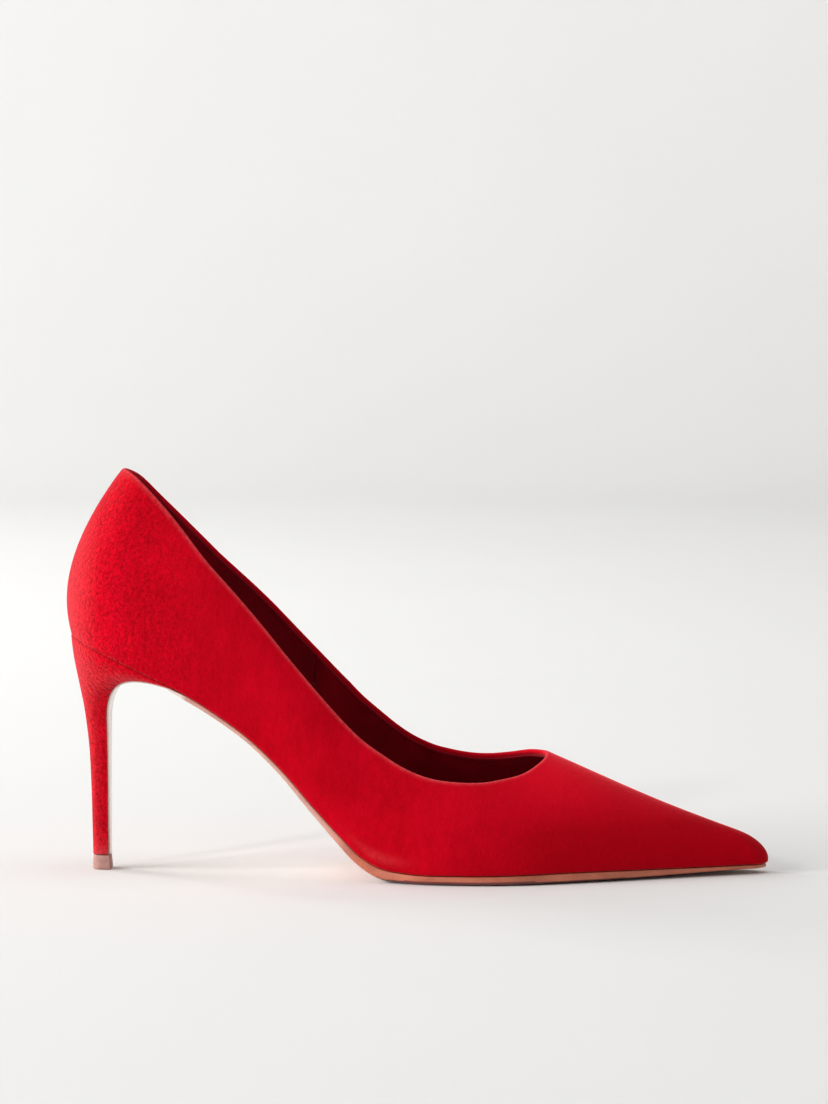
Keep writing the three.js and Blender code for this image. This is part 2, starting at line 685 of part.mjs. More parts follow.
function topPiece() {
  const hole = placed(rod(PIN.radius + FIT, PIN.bottom - FIT, 8, 16), stemPlace());
  return drilled(topPieceBlock(), [hole]);
}

// ---- assembly ----
const layers = new THREE.Group();

function add(name, material, geometry, place) {
  const mesh = new THREE.Mesh(geometry, material);
  mesh.name = name;
  if (place) {
    mesh.position.copy(place.position);
    mesh.quaternion.copy(place.quaternion);
  }
  layers.add(mesh);
}

add("upper_outer", suede, upper());
add("vamp_lining", kid, vampLining());
add("heel_grip", kid, heelGrip());
add("heel_counter", board, heelCounter());
add("toe_puff", fabric, toePuff());
for (const side of ["lateral", "medial"]) {
  add(`quarter_lining_${side}`, kid, quarterLining(side));
  add(`interlining_${side}`, fabric, interlining(side));
  add(`topline_tape_${side}`, fabric, toplineTape(side));
}
add("insole_board", board, insoleBoard());
add("shank", steel, shank());
for (const [end, at] of Object.entries(RIVETS)) {
  add(`shank_rivet_${end}`, steel, fastener(RIVET), seatPlace(at));
}
add("forepart_filler", foam, plate(SHANK, MARGIN + 1, 20, 35));
add("outsole", leather, outsole());
add("heel_core", plastic, heelCore());
add("heel_cover", suede, heelCover());
add("heel_tube", steel, heelTube(), stemPlace());
add("top_piece", rubber, topPiece());
add("top_piece_pin", steel, rod(PIN.radius, PIN.bottom, PIN.top, 16), stemPlace());
add("heel_screw", steel, fastener(SCREW), seatPlace(SCREW_AT));
NAILS.forEach((at, k) => add(`heel_nail_${k + 1}`, steel, fastener(NAIL), seatPlace(at)));
add("sock_lining", kid, plate(SOCK, INSET + 0.1, 0, LAST_COLUMN));
add("sock_heel_pad", foam, plate([4.4, 6.4], 7, 0, 8));
add("sock_ball_pad", foam, plate([4.4, 5.9], 13, 20, 27));

// The part's origin is the middle of its box, on the ground.
const box = new THREE.Box3().setFromObject(layers);
const middle = box.getCenter(new THREE.Vector3());
layers.position.set(-middle.x, -middle.y, -box.min.z);

const shoe = new THREE.Group();
shoe.name = "high_heel_pump";
shoe.add(layers);

export default shoe;
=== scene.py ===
"""High heel pump: the looks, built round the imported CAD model.

The suede, the linings, the sole and the heel are rebuilt here as fine smooth meshes on the same
last as the CAD part; the inner pieces are the CAD nodes with their own finishes.
Shapes are worked out in millimetres in the CAD source's design frame, whose origin is under the
rearmost point of the shoe, and become metres in the part's frame when a mesh is made.
"""

import math

import bmesh
import bpy
import numpy as np
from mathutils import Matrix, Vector


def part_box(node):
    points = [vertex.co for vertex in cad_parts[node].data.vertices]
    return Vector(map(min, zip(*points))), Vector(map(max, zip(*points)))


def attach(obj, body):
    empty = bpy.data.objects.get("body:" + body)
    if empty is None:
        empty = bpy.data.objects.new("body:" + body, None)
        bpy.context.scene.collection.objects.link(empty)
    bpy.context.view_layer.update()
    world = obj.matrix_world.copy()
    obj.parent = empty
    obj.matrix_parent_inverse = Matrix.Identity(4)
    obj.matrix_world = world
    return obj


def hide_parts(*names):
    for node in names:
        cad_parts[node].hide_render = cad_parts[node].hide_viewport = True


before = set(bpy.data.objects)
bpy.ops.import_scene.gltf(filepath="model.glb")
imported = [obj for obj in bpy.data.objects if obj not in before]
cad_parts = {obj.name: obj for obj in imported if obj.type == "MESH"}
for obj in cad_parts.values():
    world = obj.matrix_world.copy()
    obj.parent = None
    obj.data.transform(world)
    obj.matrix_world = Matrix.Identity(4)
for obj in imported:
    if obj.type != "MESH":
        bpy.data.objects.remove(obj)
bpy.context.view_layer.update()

MM = 0.001
LATERAL, MEDIAL = -1, 1

# ---- driving dimensions, in mm: the same ones as the CAD part's ----
# Stations of the last: t, x of the feather edge, lateral and medial half width, x and z of the
# virtual top line, then how far the wall is pushed out and up from the feather edge (out1, up1)
# and out and down from the top line (out2, down2).
LAST = np.array([
    [0.0, 2.0, 0, 0, 25.6, 149.6, 3.5, 12.6, 27.3, 33],
    [0.1, 8.0, 17.5, 17.5, 27.6, 148.8, 3.0, 13.6, 16.6, 32],
    [0.2, 27, 26.3, 25.5, 35.4, 141, 1.5, 16, 6, 28],
    [0.3, 52, 26.0, 22.5, 53, 124.5, 1.5, 16, 9, 24],
    [0.4, 80, 25.5, 19.5, 76, 104, 3.0, 14, 14, 18],
    [0.5, 107, 30.5, 24.5, 101, 85.5, 3.0, 12, 17, 12],
    [0.6, 134, 37.3, 33.5, 126, 68, 2.5, 12, 19, 6],
    [0.7, 160, 37.0, 36.0, 150, 53, 2.0, 11, 18, 1.5],
    [0.8, 188, 28.2, 29.3, 183, 37.7, 1.5, 9, 16, 0],
    [0.9, 220, 14.9, 16.0, 214, 24.4, 1.2, 6.5, 9.5, 0],
    [0.96, 240, 7.1, 7.6, 232, 17.6, 1.2, 4.8, 5.5, 0],
    [0.985, 246.8, 4.3, 4.5, 238.6, 15.2, 1.4, 4.2, 4.6, 0],
    [1.0, 249.2, 0, 0, 241, 14.2, 1.6, 4.0, 4.5, 0],
])
BACK_WIDENING = 175  # how fast the feather edge opens at the back, mm per unit of t
TOE_NARROWING = -350
TOP_HALF_WIDTH = 17  # of the virtual top line at the ankle
TOP_OPENS = 0.3  # station where the top line is widest
RIDGE_STARTS = 0.72  # ahead of it the top line is the ridge of the vamp
RIDGE_SLOPE = 0.43
# (x, height) of the feather edge, and (x, thickness) of the outsole.
SEAT = [
    (2, 84.6), (14, 79.6), (31, 72.0), (45, 64.8), (56, 57.8), (66, 50.4), (78, 39), (90, 25.4),
    (99, 15.9), (106, 9.2), (113, 5.3), (122, 3.8), (140, 3.5), (180, 4.0), (225, 3.6), (250, 3.6),
]
SOLE_SUBSTANCE = [
    (40, 1.8), (90, 2.0), (104, 2.8), (114, 3.7), (122, 3.4), (134, 3.13), (143, 3.2),
    (160, 3.35), (180, 3.35), (205, 2.8), (232, 1.7), (250, 1.4),
]
THROAT = 0.762  # station where the topline crosses the top of the foot
# (t, v): station, and share of the girth from the feather edge to the virtual top line.
TOPLINE = {
    LATERAL: [
        (0, 0.936), (0.08, 0.928), (0.18, 0.906), (0.3, 0.808), (0.42, 0.673),
        (0.53, 0.552), (0.62, 0.49), (0.69, 0.549), (0.735, 0.692), (THROAT, 1),
    ],
    MEDIAL: [
        (0, 0.936), (0.08, 0.921), (0.18, 0.88), (0.3, 0.82), (0.42, 0.765),
        (0.53, 0.662), (0.62, 0.567), (0.69, 0.619), (0.735, 0.783), (THROAT, 1),
    ],
}
SUEDE = 1.0  # thickness of the upper
EDGE_DROP = 0.9  # how far the lining stops below the edge of the upper
STIFFENER = (1.25, 1.75)  # depths of the stiffener layer under the outer face of the upper
LINING = (2.0, 2.7)  # depths of the lining under the same face
GRIP = (3.0, 3.5)  # depths of the heel grip
GAP = 0.3  # clearance between glued layers
SOCK = (3.3, 4.1)  # heights of the sock lining over the feather edge
SOCK_INSET = 3.3  # the sock stops this far inside the feather edge
BOARD_CLEARANCE = 1.7  # height of the first row of the wall, clear of the lasting margin
HEEL_COVER = 0.5  # thickness of the suede round the heel
WING_TIP = 0.257  # station of the last where the heel ends under the waist
CUP_Z = 55  # height where the cup of the heel has become the stem
TIP_Z = 5.2  # height of the top piece
BREAST_X = 14.8  # front face of the stem
FLAP = (0.2, 0.7)  # the flap of the outsole, measured out from the breast
TUBE_X = 12.2  # axis of the steel tube in the stem
# (height, half width, x of the rear) of the stem.
STEM = [(TIP_Z, 3.6, 9.15), (15, 3.7, 8.95), (30, 4.0, 8.6), (45, 5.0, 7.85), (CUP_Z, 6.6, 6.7)]

# Columns of the wall are numbered as in the CAD part: 0 at the back, 28 at the throat, 40 at the toe.
THROAT_COLUMN, TOE_COLUMN = 28, 40
SIDES = {"lateral": LATERAL, "medial": MEDIAL}
QUARTER_END = 14  # column where a quarter lining meets the vamp lining
VAMP_LINING_END = 34

# ---- dimensions of the looks alone ----
RIM = 0.9  # radius of the folded edge of the upper
FOLD = 1.5  # how far the inner face of the upper stops below its edge
LEAF = 2.8  # how far the folded leaf comes down inside
HEEL_TURN, SOLE_TURN = 0.75, 1.1  # radius of the turn at the feather edge, over the heel and the sole
SEAM_DEPTH = 0.3  # of the closed seam down the back
LINING_SEAM = 0.01  # half the gap of the seams between the linings, in columns
LINING_ROUND, LINING_END_ROUND = 0.35, 0.12  # how far from its top and its ends a lining thins out
COLUMN_PITCH = 5.5  # about how far apart the columns are along the topline
GRIP_DROP = 3.2  # how far the grip stops below the edge of the upper
TAPE_DROPS = (0.15, 2.4)  # how far below the leaf the topline tape starts and ends
PADS_BASE, HEEL_PAD_TOP, BALL_PAD_TOP = 4.15, 6.4, 5.9  # heights over the feather edge
SHADED_FOOT_HEIGHT = 1.3  # height of the foot of the sole's cut edge that is painted dark as shade
FLAP_INSET = 0.45  # how far the flap stays inside the corners of the breast
STITCH, STITCH_GAP, THREAD_RADIUS = 1.5, 0.55, 0.16  # length, space between two, and radius
STITCH_DROP = 0.9  # how far the stitches lie below the edge of the lining
WELD = 0.003  # points this close are joined

# ---- how finely the meshes are drawn ----
# Columns of the upper as far as the throat, closer together at the back seam, and on to the toe.
BACK = np.concatenate([
    [0, 0.02, 0.05, 0.08, 0.12, 0.17, 0.24, 0.33],
    np.linspace(0.45, THROAT_COLUMN, 150),
])
FRONT = np.linspace(THROAT_COLUMN, TOE_COLUMN, 61)[1:]
ALL_COLUMNS = np.concatenate([BACK, FRONT])
RIM_TURN = np.linspace(0, np.pi, 11)  # angles over the folded edge
EDGE_TURN = np.linspace(0, np.pi / 2, 8)  # angles round the foot of the sole's edge
ACROSS = 13  # points across the flat of a ring of the sole, between its two halves
HEEL_ROWS = 46  # rows of the cup of the heel, and of its stem


# ---- curves ----
def smooth(stations, first=None, last=None):
    """A smooth function through (x, y) stations, held at its ends, with optional end slopes."""
    x, y = np.array(stations, float).T
    gap = np.diff(x)
    rise = np.diff(y) / gap
    slope = np.empty_like(y)
    slope[1:-1] = (rise[:-1] * gap[1:] + rise[1:] * gap[:-1]) / (gap[:-1] + gap[1:])
    slope[0] = 1.5 * rise[0] - 0.5 * slope[1] if first is None else first
    slope[-1] = 1.5 * rise[-1] - 0.5 * slope[-2] if last is None else last

    def value(at):
        """The value of the curve at these places."""
        at = np.clip(at, x[0], x[-1])
        i = np.clip(np.searchsorted(x, at, side="right") - 1, 0, len(x) - 2)
        f = (at - x[i]) / gap[i]
        return (
            (1 + 2 * f) * (1 - f) ** 2 * y[i]
            + f * (1 - f) ** 2 * gap[i] * slope[i]
            + f * f * (3 - 2 * f) * y[i + 1]
            + f * f * (f - 1) * gap[i] * slope[i + 1]
        )

    return value


def points(x, y, z):
    """Arrays of coordinates as one array of points."""
    return np.stack(np.broadcast_arrays(x, y, z), -1).astype(float)


def unit(vectors):
    """The same directions with length 1."""
    return vectors / np.maximum(np.linalg.norm(vectors, axis=-1, keepdims=True), 1e-12)


def dot(a, b):
    """Dot products of vectors, kept as a last axis of length 1."""
    return (a * b).sum(-1, keepdims=True)


def mix(a, b, share):
    """The value at this share of the way from a to b."""
    return a + (b - a) * share


def step(x, low, high):
    """0 below low, 1 above high and smooth between them."""
    f = np.clip((x - low) / (high - low), 0, 1)
    return f * f * (3 - 2 * f)


def column(index, first=None, last=None):
    """A smooth function of the station, through one column of the last's table."""
    return smooth(LAST[:, [0, index]], first, last)


foot_x = column(1, 0, 0)
half_width = {
    LATERAL: column(2, BACK_WIDENING, TOE_NARROWING),
    MEDIAL: column(3, BACK_WIDENING, TOE_NARROWING),
}
top_x, top_z, out1, up1, out2, down2 = [column(index, 0) for index in range(4, 10)]
seat_z = smooth(SEAT)
sole_substance = smooth(SOLE_SUBSTANCE)
stem_half = smooth([(z, half) for z, half, rear in STEM])
stem_rear = smooth([(z, rear) for z, half, rear in STEM])


# ---- the last ----
def seat_normal(x):
    """Unit normals of the seat, pointing up."""
    slope = (seat_z(x + 0.1) - seat_z(x - 0.1)) / 0.2
    return unit(points(-slope, 0, 1))


def feather(t, side):
    """Points of the feather edge and their outward directions in plan."""
    half = half_width[side]
    near, far = np.maximum(0, t - 1e-4), np.minimum(1, t + 1e-4)
    outward = points(half(near) - half(far), side * (foot_x(far) - foot_x(near)), 0)
    return points(foot_x(t), side * half(t), seat_z(foot_x(t))), unit(outward)


def last_point(t, v, side):
    """Points of the last at stations t and girths v, 0 on the feather edge and 1 on the top line."""
    point, outward = feather(t, side)
    opening = np.sin(np.pi / 2 * np.minimum(1, t / TOP_OPENS))
    closing = np.cos(np.pi / 2 * np.clip((t - TOP_OPENS) / (RIDGE_STARTS - TOP_OPENS), 0, 1)) ** 2
    top = points(top_x(t), side * TOP_HALF_WIDTH * opening * closing, top_z(t))
    on_ridge = np.clip((t - 0.6) / 0.12, 0, 1)
    drop = down2(t) + np.maximum(0, outward[..., 0]) * RIDGE_SLOPE * out2(t) * on_ridge
    lower = point + outward * out1(t)[..., None] + points(0, 0, up1(t))
    upper = top + outward * out2(t)[..., None] - points(0, 0, drop)
    f = np.asarray(v, float)[..., None]
    g = 1 - f
    return point * g**3 + 3 * f * g * g * lower + 3 * f * f * g * upper + top * f**3


def last_slopes(t, v, side):
    """How the last's points move with t and with v."""
    near, far = np.maximum(0, t - 1e-3), np.minimum(1, t + 1e-3)
    low, high = np.maximum(0, v - 1e-3), np.minimum(1, v + 1e-3)
    along = last_point(far, v, side) - last_point(near, v, side)
    up = last_point(t, high, side) - last_point(t, low, side)
    return along / (far - near)[..., None], up / (high - low)[..., None]


def last_inward(t, v, side):
    """Unit normals of the last, pointing into the shoe."""
    along, up = last_slopes(t, v, side)
    normal = np.cross(along, up) * side
    centred = (t <= 0) | (t >= 1) | ((v >= 1) & (t >= THROAT))
    normal[..., 1] = np.where(centred, 0, normal[..., 1])
    return unit(normal)


def by_length(curve):
    """Turns fractions of a curve's length into its parameters."""
    f = np.linspace(0, 1, 801)
    steps = np.linalg.norm(np.diff(curve(f), axis=0), axis=-1)
    lengths = np.concatenate([[0], np.cumsum(steps)])
    return lambda fraction: np.interp(fraction, lengths / lengths[-1], f)


def topline(side):
    """The topline of one side as a function of fractions of its length, giving (t, v)."""
    t, v = np.array(TOPLINE[side], float).T
    steps = np.linalg.norm(np.diff(last_point(t, v, side), axis=0), axis=-1)
    marks = np.concatenate([[0], np.cumsum(steps)]) / steps.sum()
    station = smooth(np.stack([marks, t], -1), None, 0)
    girth = smooth(np.stack([marks, v], -1), 0, None)
    parameter = by_length(lambda f: last_point(station(f), girth(f), side))
    return lambda fraction: (station(parameter(fraction)), girth(parameter(fraction)))


topline_at = {side: topline(side) for side in (LATERAL, MEDIAL)}
feather_at = by_length(lambda f: feather(f * THROAT, LATERAL)[0])


def below_topline(fraction, side, drop):
    """(t, v) of the points that lie this far below the topline, square to it."""
    near, far = np.maximum(0, fraction - 1e-3), np.minimum(1, fraction + 1e-3)
    t, v = topline_at[side](fraction)
    (t0, v0), (t1, v1) = topline_at[side](near), topline_at[side](far)
    dt, dv = t1 - t0, v1 - v0
    along, up = last_slopes(t, v, side)
    cross = dot(along, up)[..., 0]
    down_t = cross * dt + dot(up, up)[..., 0] * dv
    down_v = -(dot(along, along)[..., 0] * dt + cross * dv)
    length = np.linalg.norm(along * down_t[..., None] + up * down_v[..., None], axis=-1)
    return t + drop * down_t / length, np.minimum(1, v + drop * down_v / length)


def columns_at(k, side, drop):
    """Where columns k start on the feather edge (foot) and end below the topline (t, v)."""
    u = np.minimum(k / THROAT_COLUMN, 1)
    fraction = u - 0.25 * np.sin(2 * np.pi * u) / (2 * np.pi)
    t, v = below_topline(fraction, side, drop)
    ahead = np.maximum(0, k - THROAT_COLUMN) / (TOE_COLUMN - THROAT_COLUMN)
    narrowing = (1 - ahead) ** 1.5
    foot = 1 - (1 - THROAT * feather_at(fraction)) * narrowing
    return foot, 1 - (1 - t) * narrowing, v


def foot_at(k):
    """The stations where columns k start on the feather edge."""
    return columns_at(k, LATERAL, 0)[0]


def on_wall(k, side, heights, depth, drop, low=None):
    """A grid of points, one line for each column k, at shares of the height of the wall."""
    foot, t, v = [value[:, None] for value in columns_at(k, side, drop)]
    low = np.minimum(0.2, BOARD_CLEARANCE / (3 * up1(foot))) if low is None else low[:, None]
    girth = low + (v - low) * heights
    station = np.clip(foot + (t - foot) * girth / v, 0, 1)
    inward = last_inward(station, girth, side)
    return last_point(station, girth, side) + inward * depth, inward


# ---- meshes ----
# From the design frame to the part's: the tube of the heel shows how far the part was moved.
tube_low, tube_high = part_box("heel_tube")
SHIFT = np.array([
    (tube_low.x + tube_high.x) / 2 / MM - TUBE_X,
    (tube_low.y + tube_high.y) / 2 / MM,
    0,
])


def quads(number):
    """The faces of a grid whose points have these numbers."""
    corners = [number[:-1, :-1], number[1:, :-1], number[1:, 1:], number[:-1, 1:]]
    return np.stack(corners, -1).reshape(-1, 4).tolist()


def piece(name, grids, finish, replaces=(), marks=()):
    """An object of the shoe from grids of points in mm, joined where their points meet.

    Marks are one array for each grid: how worn each point is and how much highlight is painted on it,
    or how much of an edge it is.
    """
    vertices, faces, count = [], [], 0
    for grid in grids:
        rows, columns = grid.shape[:2]
        faces.extend(quads(count + np.arange(rows * columns).reshape(rows, columns)))
        vertices.append(grid.reshape(-1, 3))
        count += rows * columns
    mesh = bpy.data.meshes.new(name)
    mesh.from_pydata(((np.concatenate(vertices) + SHIFT) * MM).tolist(), [], faces)
    if marks:
        values = [np.broadcast_to(mark, grid.shape[:2]).ravel() for mark, grid in zip(marks, grids)]
        layer = mesh.attributes.new("mark", "FLOAT", "POINT")
        layer.data.foreach_set("value", np.concatenate(values))
    shape = bmesh.new()
    shape.from_mesh(mesh)
    bmesh.ops.remove_doubles(shape, verts=shape.verts, dist=WELD * MM)
    bmesh.ops.recalc_face_normals(shape, faces=shape.faces)
    for face in shape.faces:
        face.smooth = True
    shape.to_mesh(mesh)
    shape.free()
    mesh.materials.append(finish)
    made = bpy.data.objects.new(name, mesh)
    bpy.context.scene.collection.objects.link(made)
    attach(made, "root")
    if replaces:
        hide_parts(*replaces)
    return made


def eased(start, end, count):
    """Numbers from start to end, closer together at both ends."""
    return start + (end - start) * (1 - np.cos(np.linspace(0, np.pi, count))) / 2


def swing(start, end, angles):
    """Directions turned from start to end, at shares of the angle between them."""
    whole = np.arccos(np.clip(dot(start, end), -1, 1))
    return (start * np.sin((1 - angles) * whole) + end * np.sin(angles * whole)) / np.sin(whole)


# ---- upper ----
def back_seam(grid, inward):
    """Presses the closed seam into the points near the centre of the back."""
    across = np.abs(grid[..., 1:2])
    behind = grid[..., 0:1] < 20
    groove = SEAM_DEPTH * np.exp(-((across / 0.35) ** 2))
    shoulder = 0.12 * np.exp(-(((across - 1.3) / 0.8) ** 2))
    return grid + inward * (groove - shoulder) * behind


def margin(k, side, depth):
    """The lasting margin of the upper, from its inner edge out to the feather edge."""
    foot = foot_at(k)
    point, _ = feather(foot, side)
    spine = points(np.clip(point[:, 0], 27, 234), 0, point[:, 2])
    reach = np.minimum(10, 0.7 * np.linalg.norm(spine - point, axis=-1))[:, None]
    lines = [point + unit(spine - point) * reach * share for share in (1, 0.6)]
    grid = np.stack(lines, 1)
    grid[..., 2] = seat_z(grid[..., 0])
    return grid + seat_normal(grid[..., 0]) * depth


def upper_outer(side):
    """The outer face of the upper: its margin, the turn at the feather edge and the wall."""
    k = ALL_COLUMNS
    foot = foot_at(k)
    point, _ = feather(foot, side)
    up = seat_normal(point[:, 0])
    inward = last_inward(foot, np.zeros_like(foot), side)
    mitre = (inward + up) / (1 + dot(inward, up))
    radius = mix(HEEL_TURN, SOLE_TURN, step(point[:, :1], 30, 60))
    centre = point + mitre * radius
    turn = [centre + radius * swing(-up, -inward, share) for share in (0, 0.2, 0.4, 0.6, 0.8)]
    rise = np.linalg.norm(point - (centre - inward * radius), axis=-1)
    low = rise / (3 * np.hypot(out1(foot), up1(foot)))
    heights = np.concatenate([[0, 0.012, 0.03], np.linspace(0.055, 1, 44)])
    wall, normal = on_wall(k, side, heights, 0, RIM, low)
    return np.concatenate([margin(k, side, 0), np.stack(turn, 1), back_seam(wall, normal)], 1)


def upper_rim(side):
    """The folded edge of the upper: over the top and down inside to where the fold ends."""
    k = BACK
    outer, inward = on_wall(k, side, np.array([1.0]), 0, RIM)
    outer, inward = back_seam(outer, inward)[:, 0], inward[:, 0]
    top, _ = on_wall(k, side, np.array([1.0]), 0, 0)
    rise = unit(top[:, 0] - outer)
    lines = [outer + RIM * (rise * np.sin(a) + inward * (1 - np.cos(a))) for a in RIM_TURN]
    leaf = ((1.84, 1.3), (1.88, LEAF), (1.81, LEAF), (1.8, FOLD), (SUEDE, FOLD))
    for depth, drop in leaf:
        lines.append(on_wall(k, side, np.array([1.0]), depth, drop)[0][:, 0])
    return np.stack(lines, 1)


def upper_wear_and_highlights(outer, rim, side):
    """How worn the suede is, with a painted highlight on the same marks: along its folded edge, where
    its round catches the light, and in a rub above the sole at the ball.
    """
    from_rim = np.linalg.norm(outer - outer[:, -1:], axis=-1)
    near_rim = np.exp(-from_rim / 0.3)
    near_rim[len(BACK):] = 0
    above = outer[..., 2] - seat_z(outer[..., 0])
    # A rub above the sole at the ball: wear, with a painted highlight on the bulge.
    rub_and_highlight = np.exp(-(((outer[..., 0] - 113) / 8) ** 2) - ((above - 4) / 1.7) ** 2) * (side == LATERAL)
    along_rim = np.zeros(rim.shape[1])
    along_rim[:len(RIM_TURN)] = np.exp(-(((RIM_TURN - 0.6) / 0.6) ** 2))
    return [0.35 * near_rim + 0.3 * rub_and_highlight, along_rim]


def upper_inner(side):
    """The hidden inner face of the upper, from the fold down to the edge of the margin."""
    k = ALL_COLUMNS
    wall, _ = on_wall(k, side, np.linspace(1, 0, 14), SUEDE, FOLD)
    inner = margin(k, side, SUEDE)[:, ::-1]
    return np.concatenate([wall, inner, margin(k, side, 0)[:, :1]], 1)


# ---- linings ----
def with_edges(first, last, pitch):
    """Column numbers from first to last, with a few close to each end for a rounded edge."""
    inside = np.linspace(first, last, round((last - first) / pitch))[1:-1]
    close = np.array([0, 0.01, 0.03])
    return np.concatenate([first + close, inside, last - close[::-1]])


def lining_grids(k, side, depths, drop):
    """Both faces of a sheet of the wall, with its top edge and its two ends rounded."""
    foot, t, v = columns_at(k, side, drop)
    height = np.linalg.norm(last_point(t, v, side) - last_point(foot, 0 * foot, side), axis=-1)
    near_top = 1 - LINING_ROUND * np.array([1, 1 / 3, 1 / 12, 0]) / height[:, None]
    heights = np.concatenate([np.linspace(0, 0.97, 30) * np.ones((len(k), 1)), near_top], 1)
    middle, half = (depths[0] + depths[1]) / 2, (depths[1] - depths[0]) / 2
    from_end = np.minimum(k - k[0], k[-1] - k) * COLUMN_PITCH / LINING_END_ROUND
    at_centre = (k[0] == 0) & (k < k[-1] / 2)  # where it goes on into the other side's half
    from_end = np.where(at_centre, 1, from_end)[:, None]
    to_edge = np.minimum(from_end, (1 - heights) * height[:, None] / LINING_ROUND)
    fullness = np.sqrt(1 - (1 - np.clip(to_edge, 0, 1)) ** 2)[..., None]
    centre, inward = on_wall(k, side, heights, middle, drop)
    return [centre + inward * half * fullness * sign for sign in (-1, 1)]


def tape_grids(side):
    """The tape along the topline of one side, under the folded leaf of the upper."""
    k = np.linspace(0.1, THROAT_COLUMN - 2, 120)
    faces = []
    for depth in STIFFENER:
        drops = np.linspace(LEAF + TAPE_DROPS[0], LEAF + TAPE_DROPS[1], 5)
        lines = [on_wall(k, side, np.array([1.0]), depth, drop)[0][:, 0] for drop in drops]
        faces.append(np.stack(lines, 1))
    outer, inner = faces
    rims = [np.stack([outer[:, row], inner[:, row]]) for row in (0, -1)]
    ends = [np.stack([outer[end], inner[end]]) for end in (0, -1)]
    return [outer, inner, *rims, *ends]


# ---- bottom ----
def on_bottom(t, side, inset, height):
    """Points over the seat, this far inside the feather edge and this high above it."""
    point, outward = feather(t, side)
    place = point - outward * np.asarray(inset)[..., None]
    place[..., 2] = seat_z(place[..., 0])
    return place + seat_normal(place[..., 0]) * np.asarray(height)[..., None]


def plate_grids(first, last, heights, inset, soft, flat_under=False):
    """Both faces of a sheet that lies on the bottom, domed towards its rounded edges."""
    t = foot_at(eased(first, last, 90))
    zero = np.zeros_like(t)
    share = eased(0, 1, 41)[None, :, None]
    ends = [on_bottom(t, side, zero + inset, zero)[:, None] for side in (LATERAL, MEDIAL)]
    grid = mix(ends[0], ends[1], share)
    border = np.concatenate([grid[:, 0], grid[:, -1], grid[0], grid[-1]])
    distance = np.linalg.norm(grid[:, :, None] - border[None, None], axis=-1).min(-1)
    fullness = np.sqrt(1 - (1 - np.clip(distance / soft, 0, 1)) ** 2)[..., None]
    normal = seat_normal(grid[..., 0])
    middle = heights[0] if flat_under else (heights[0] + heights[1]) / 2
    top = grid + normal * (middle + (heights[1] - middle) * fullness)
    under = grid + normal * (middle - (middle - heights[0]) * fullness)
    return [top, under]


def sole_section(t, side, inset, reach, rise, low, high):
    """Half of a ring of the outsole, from the edge of its flat bottom up to its top.

    The cut edge is this far inside the feather edge. Its foot is rounded: the round reaches this
    far in under it and rises this share of the thickness.
    """
    lines = []
    for angle in EDGE_TURN:
        height = low + rise * (high - low) * (1 - math.cos(angle))
        lines.append(on_bottom(t, side, inset + reach * (1 - math.sin(angle)), height))
    bulge = ((0.05, -0.03), (0.3, -0.06), (0.7, -0.02), (0.93, 0.03), (1, 0.15), (1, 0.8))
    for share, inward in bulge:
        height = mix(low, high, mix(rise, 1, share))
        lines.append(on_bottom(t, side, inset + inward, height))
    return np.stack(lines, 1)


def sole_marks(sole, flap):
    """Marks of the outsole and of its two ends: 1 on the cut edge and 0.5 on its foot, which is
    painted dark as shade.
    """
    marks = np.zeros((len(sole) + len(flap), sole.shape[1] + 1))
    marks[:len(sole), ACROSS + 1:-2] = np.where(sole[:, ACROSS + 1:-1, 2] < SHADED_FOOT_HEIGHT, 0.5, 1)
    return [marks, 0, 0]


def joined_halves(lateral, medial):
    """Whole rings from the halves of both sides."""
    share = np.linspace(0, 1, ACROSS + 2)[None, 1:-1, None]
    bottom = mix(medial[:, :1], lateral[:, :1], share)
    top = mix(lateral[:, -1:], medial[:, -1:], share)
    return np.concatenate([bottom, lateral, top, medial[:, ::-1]], 1)


def sole_rings():
    """Rings of the outsole from the toe back to the top of the heel."""
    k = np.linspace(0, TOE_COLUMN, 4001)
    start = np.interp(WING_TIP + 0.02, foot_at(k), k)
    t = foot_at(np.linspace(TOE_COLUMN, start, 170))
    x = foot_x(t)
    forepart = step(x, 95, 125)
    inset, reach, rise = mix(1.6, 0.5, forepart), mix(1.5, 3.5, forepart), mix(0.6, 0.3, forepart)
    low, high = -GAP - sole_substance(x), -GAP + 0 * x
    halves = [sole_section(t, side, inset, reach, rise, low, high) for side in (LATERAL, MEDIAL)]
    rings = joined_halves(*halves)
    rings[..., 2] = np.maximum(rings[..., 2], 0)
    return rings


def flap_rings():
    """Rings of the flap that the outsole sends down the breast of the heel."""
    line = heel_columns(np.array([1.0]), MEDIAL, 0)[0][3:]  # the corner of the breast
    along = np.gradient(line, axis=0)
    out = unit(points(-along[:, 2], 0, along[:, 0]))[:, None]
    width = line[:, 1] - FLAP_INSET
    across = [width - 0.5 * (1 - math.sin(angle)) for angle in EDGE_TURN]
    across += [width] * 4 + [width - 0.08, width - 0.5]
    thick = FLAP[1] - FLAP[0]
    far = [FLAP[1] - 0.4 * thick * (1 - math.cos(angle)) for angle in EDGE_TURN]
    far += [0.05 + share * thick for share in (0.5, 0.4, 0.2, 0.1, 0, 0)]
    centre = points(line[:, 0], 0, line[:, 2])[:, None]
    outward = out * np.array(far)[None, :, None]
    sideways = np.array([0, 1, 0]) * np.stack(across, 1)[..., None]
    halves = [centre + outward + side * sideways for side in (LATERAL, MEDIAL)]
    return joined_halves(*halves)


def closed_tube(rings):
    """Grids of a tube through closed rings, with both of its ends filled."""
    whole = np.concatenate([rings, rings[:, :1]], 1)
    caps = []
    for ring in (rings[0], rings[-1]):
        centre = ring.mean(0)
        caps.append(np.stack([np.concatenate([ring, ring[:1]]), np.tile(centre, (len(ring) + 1, 1))]))
    return [whole, *caps]


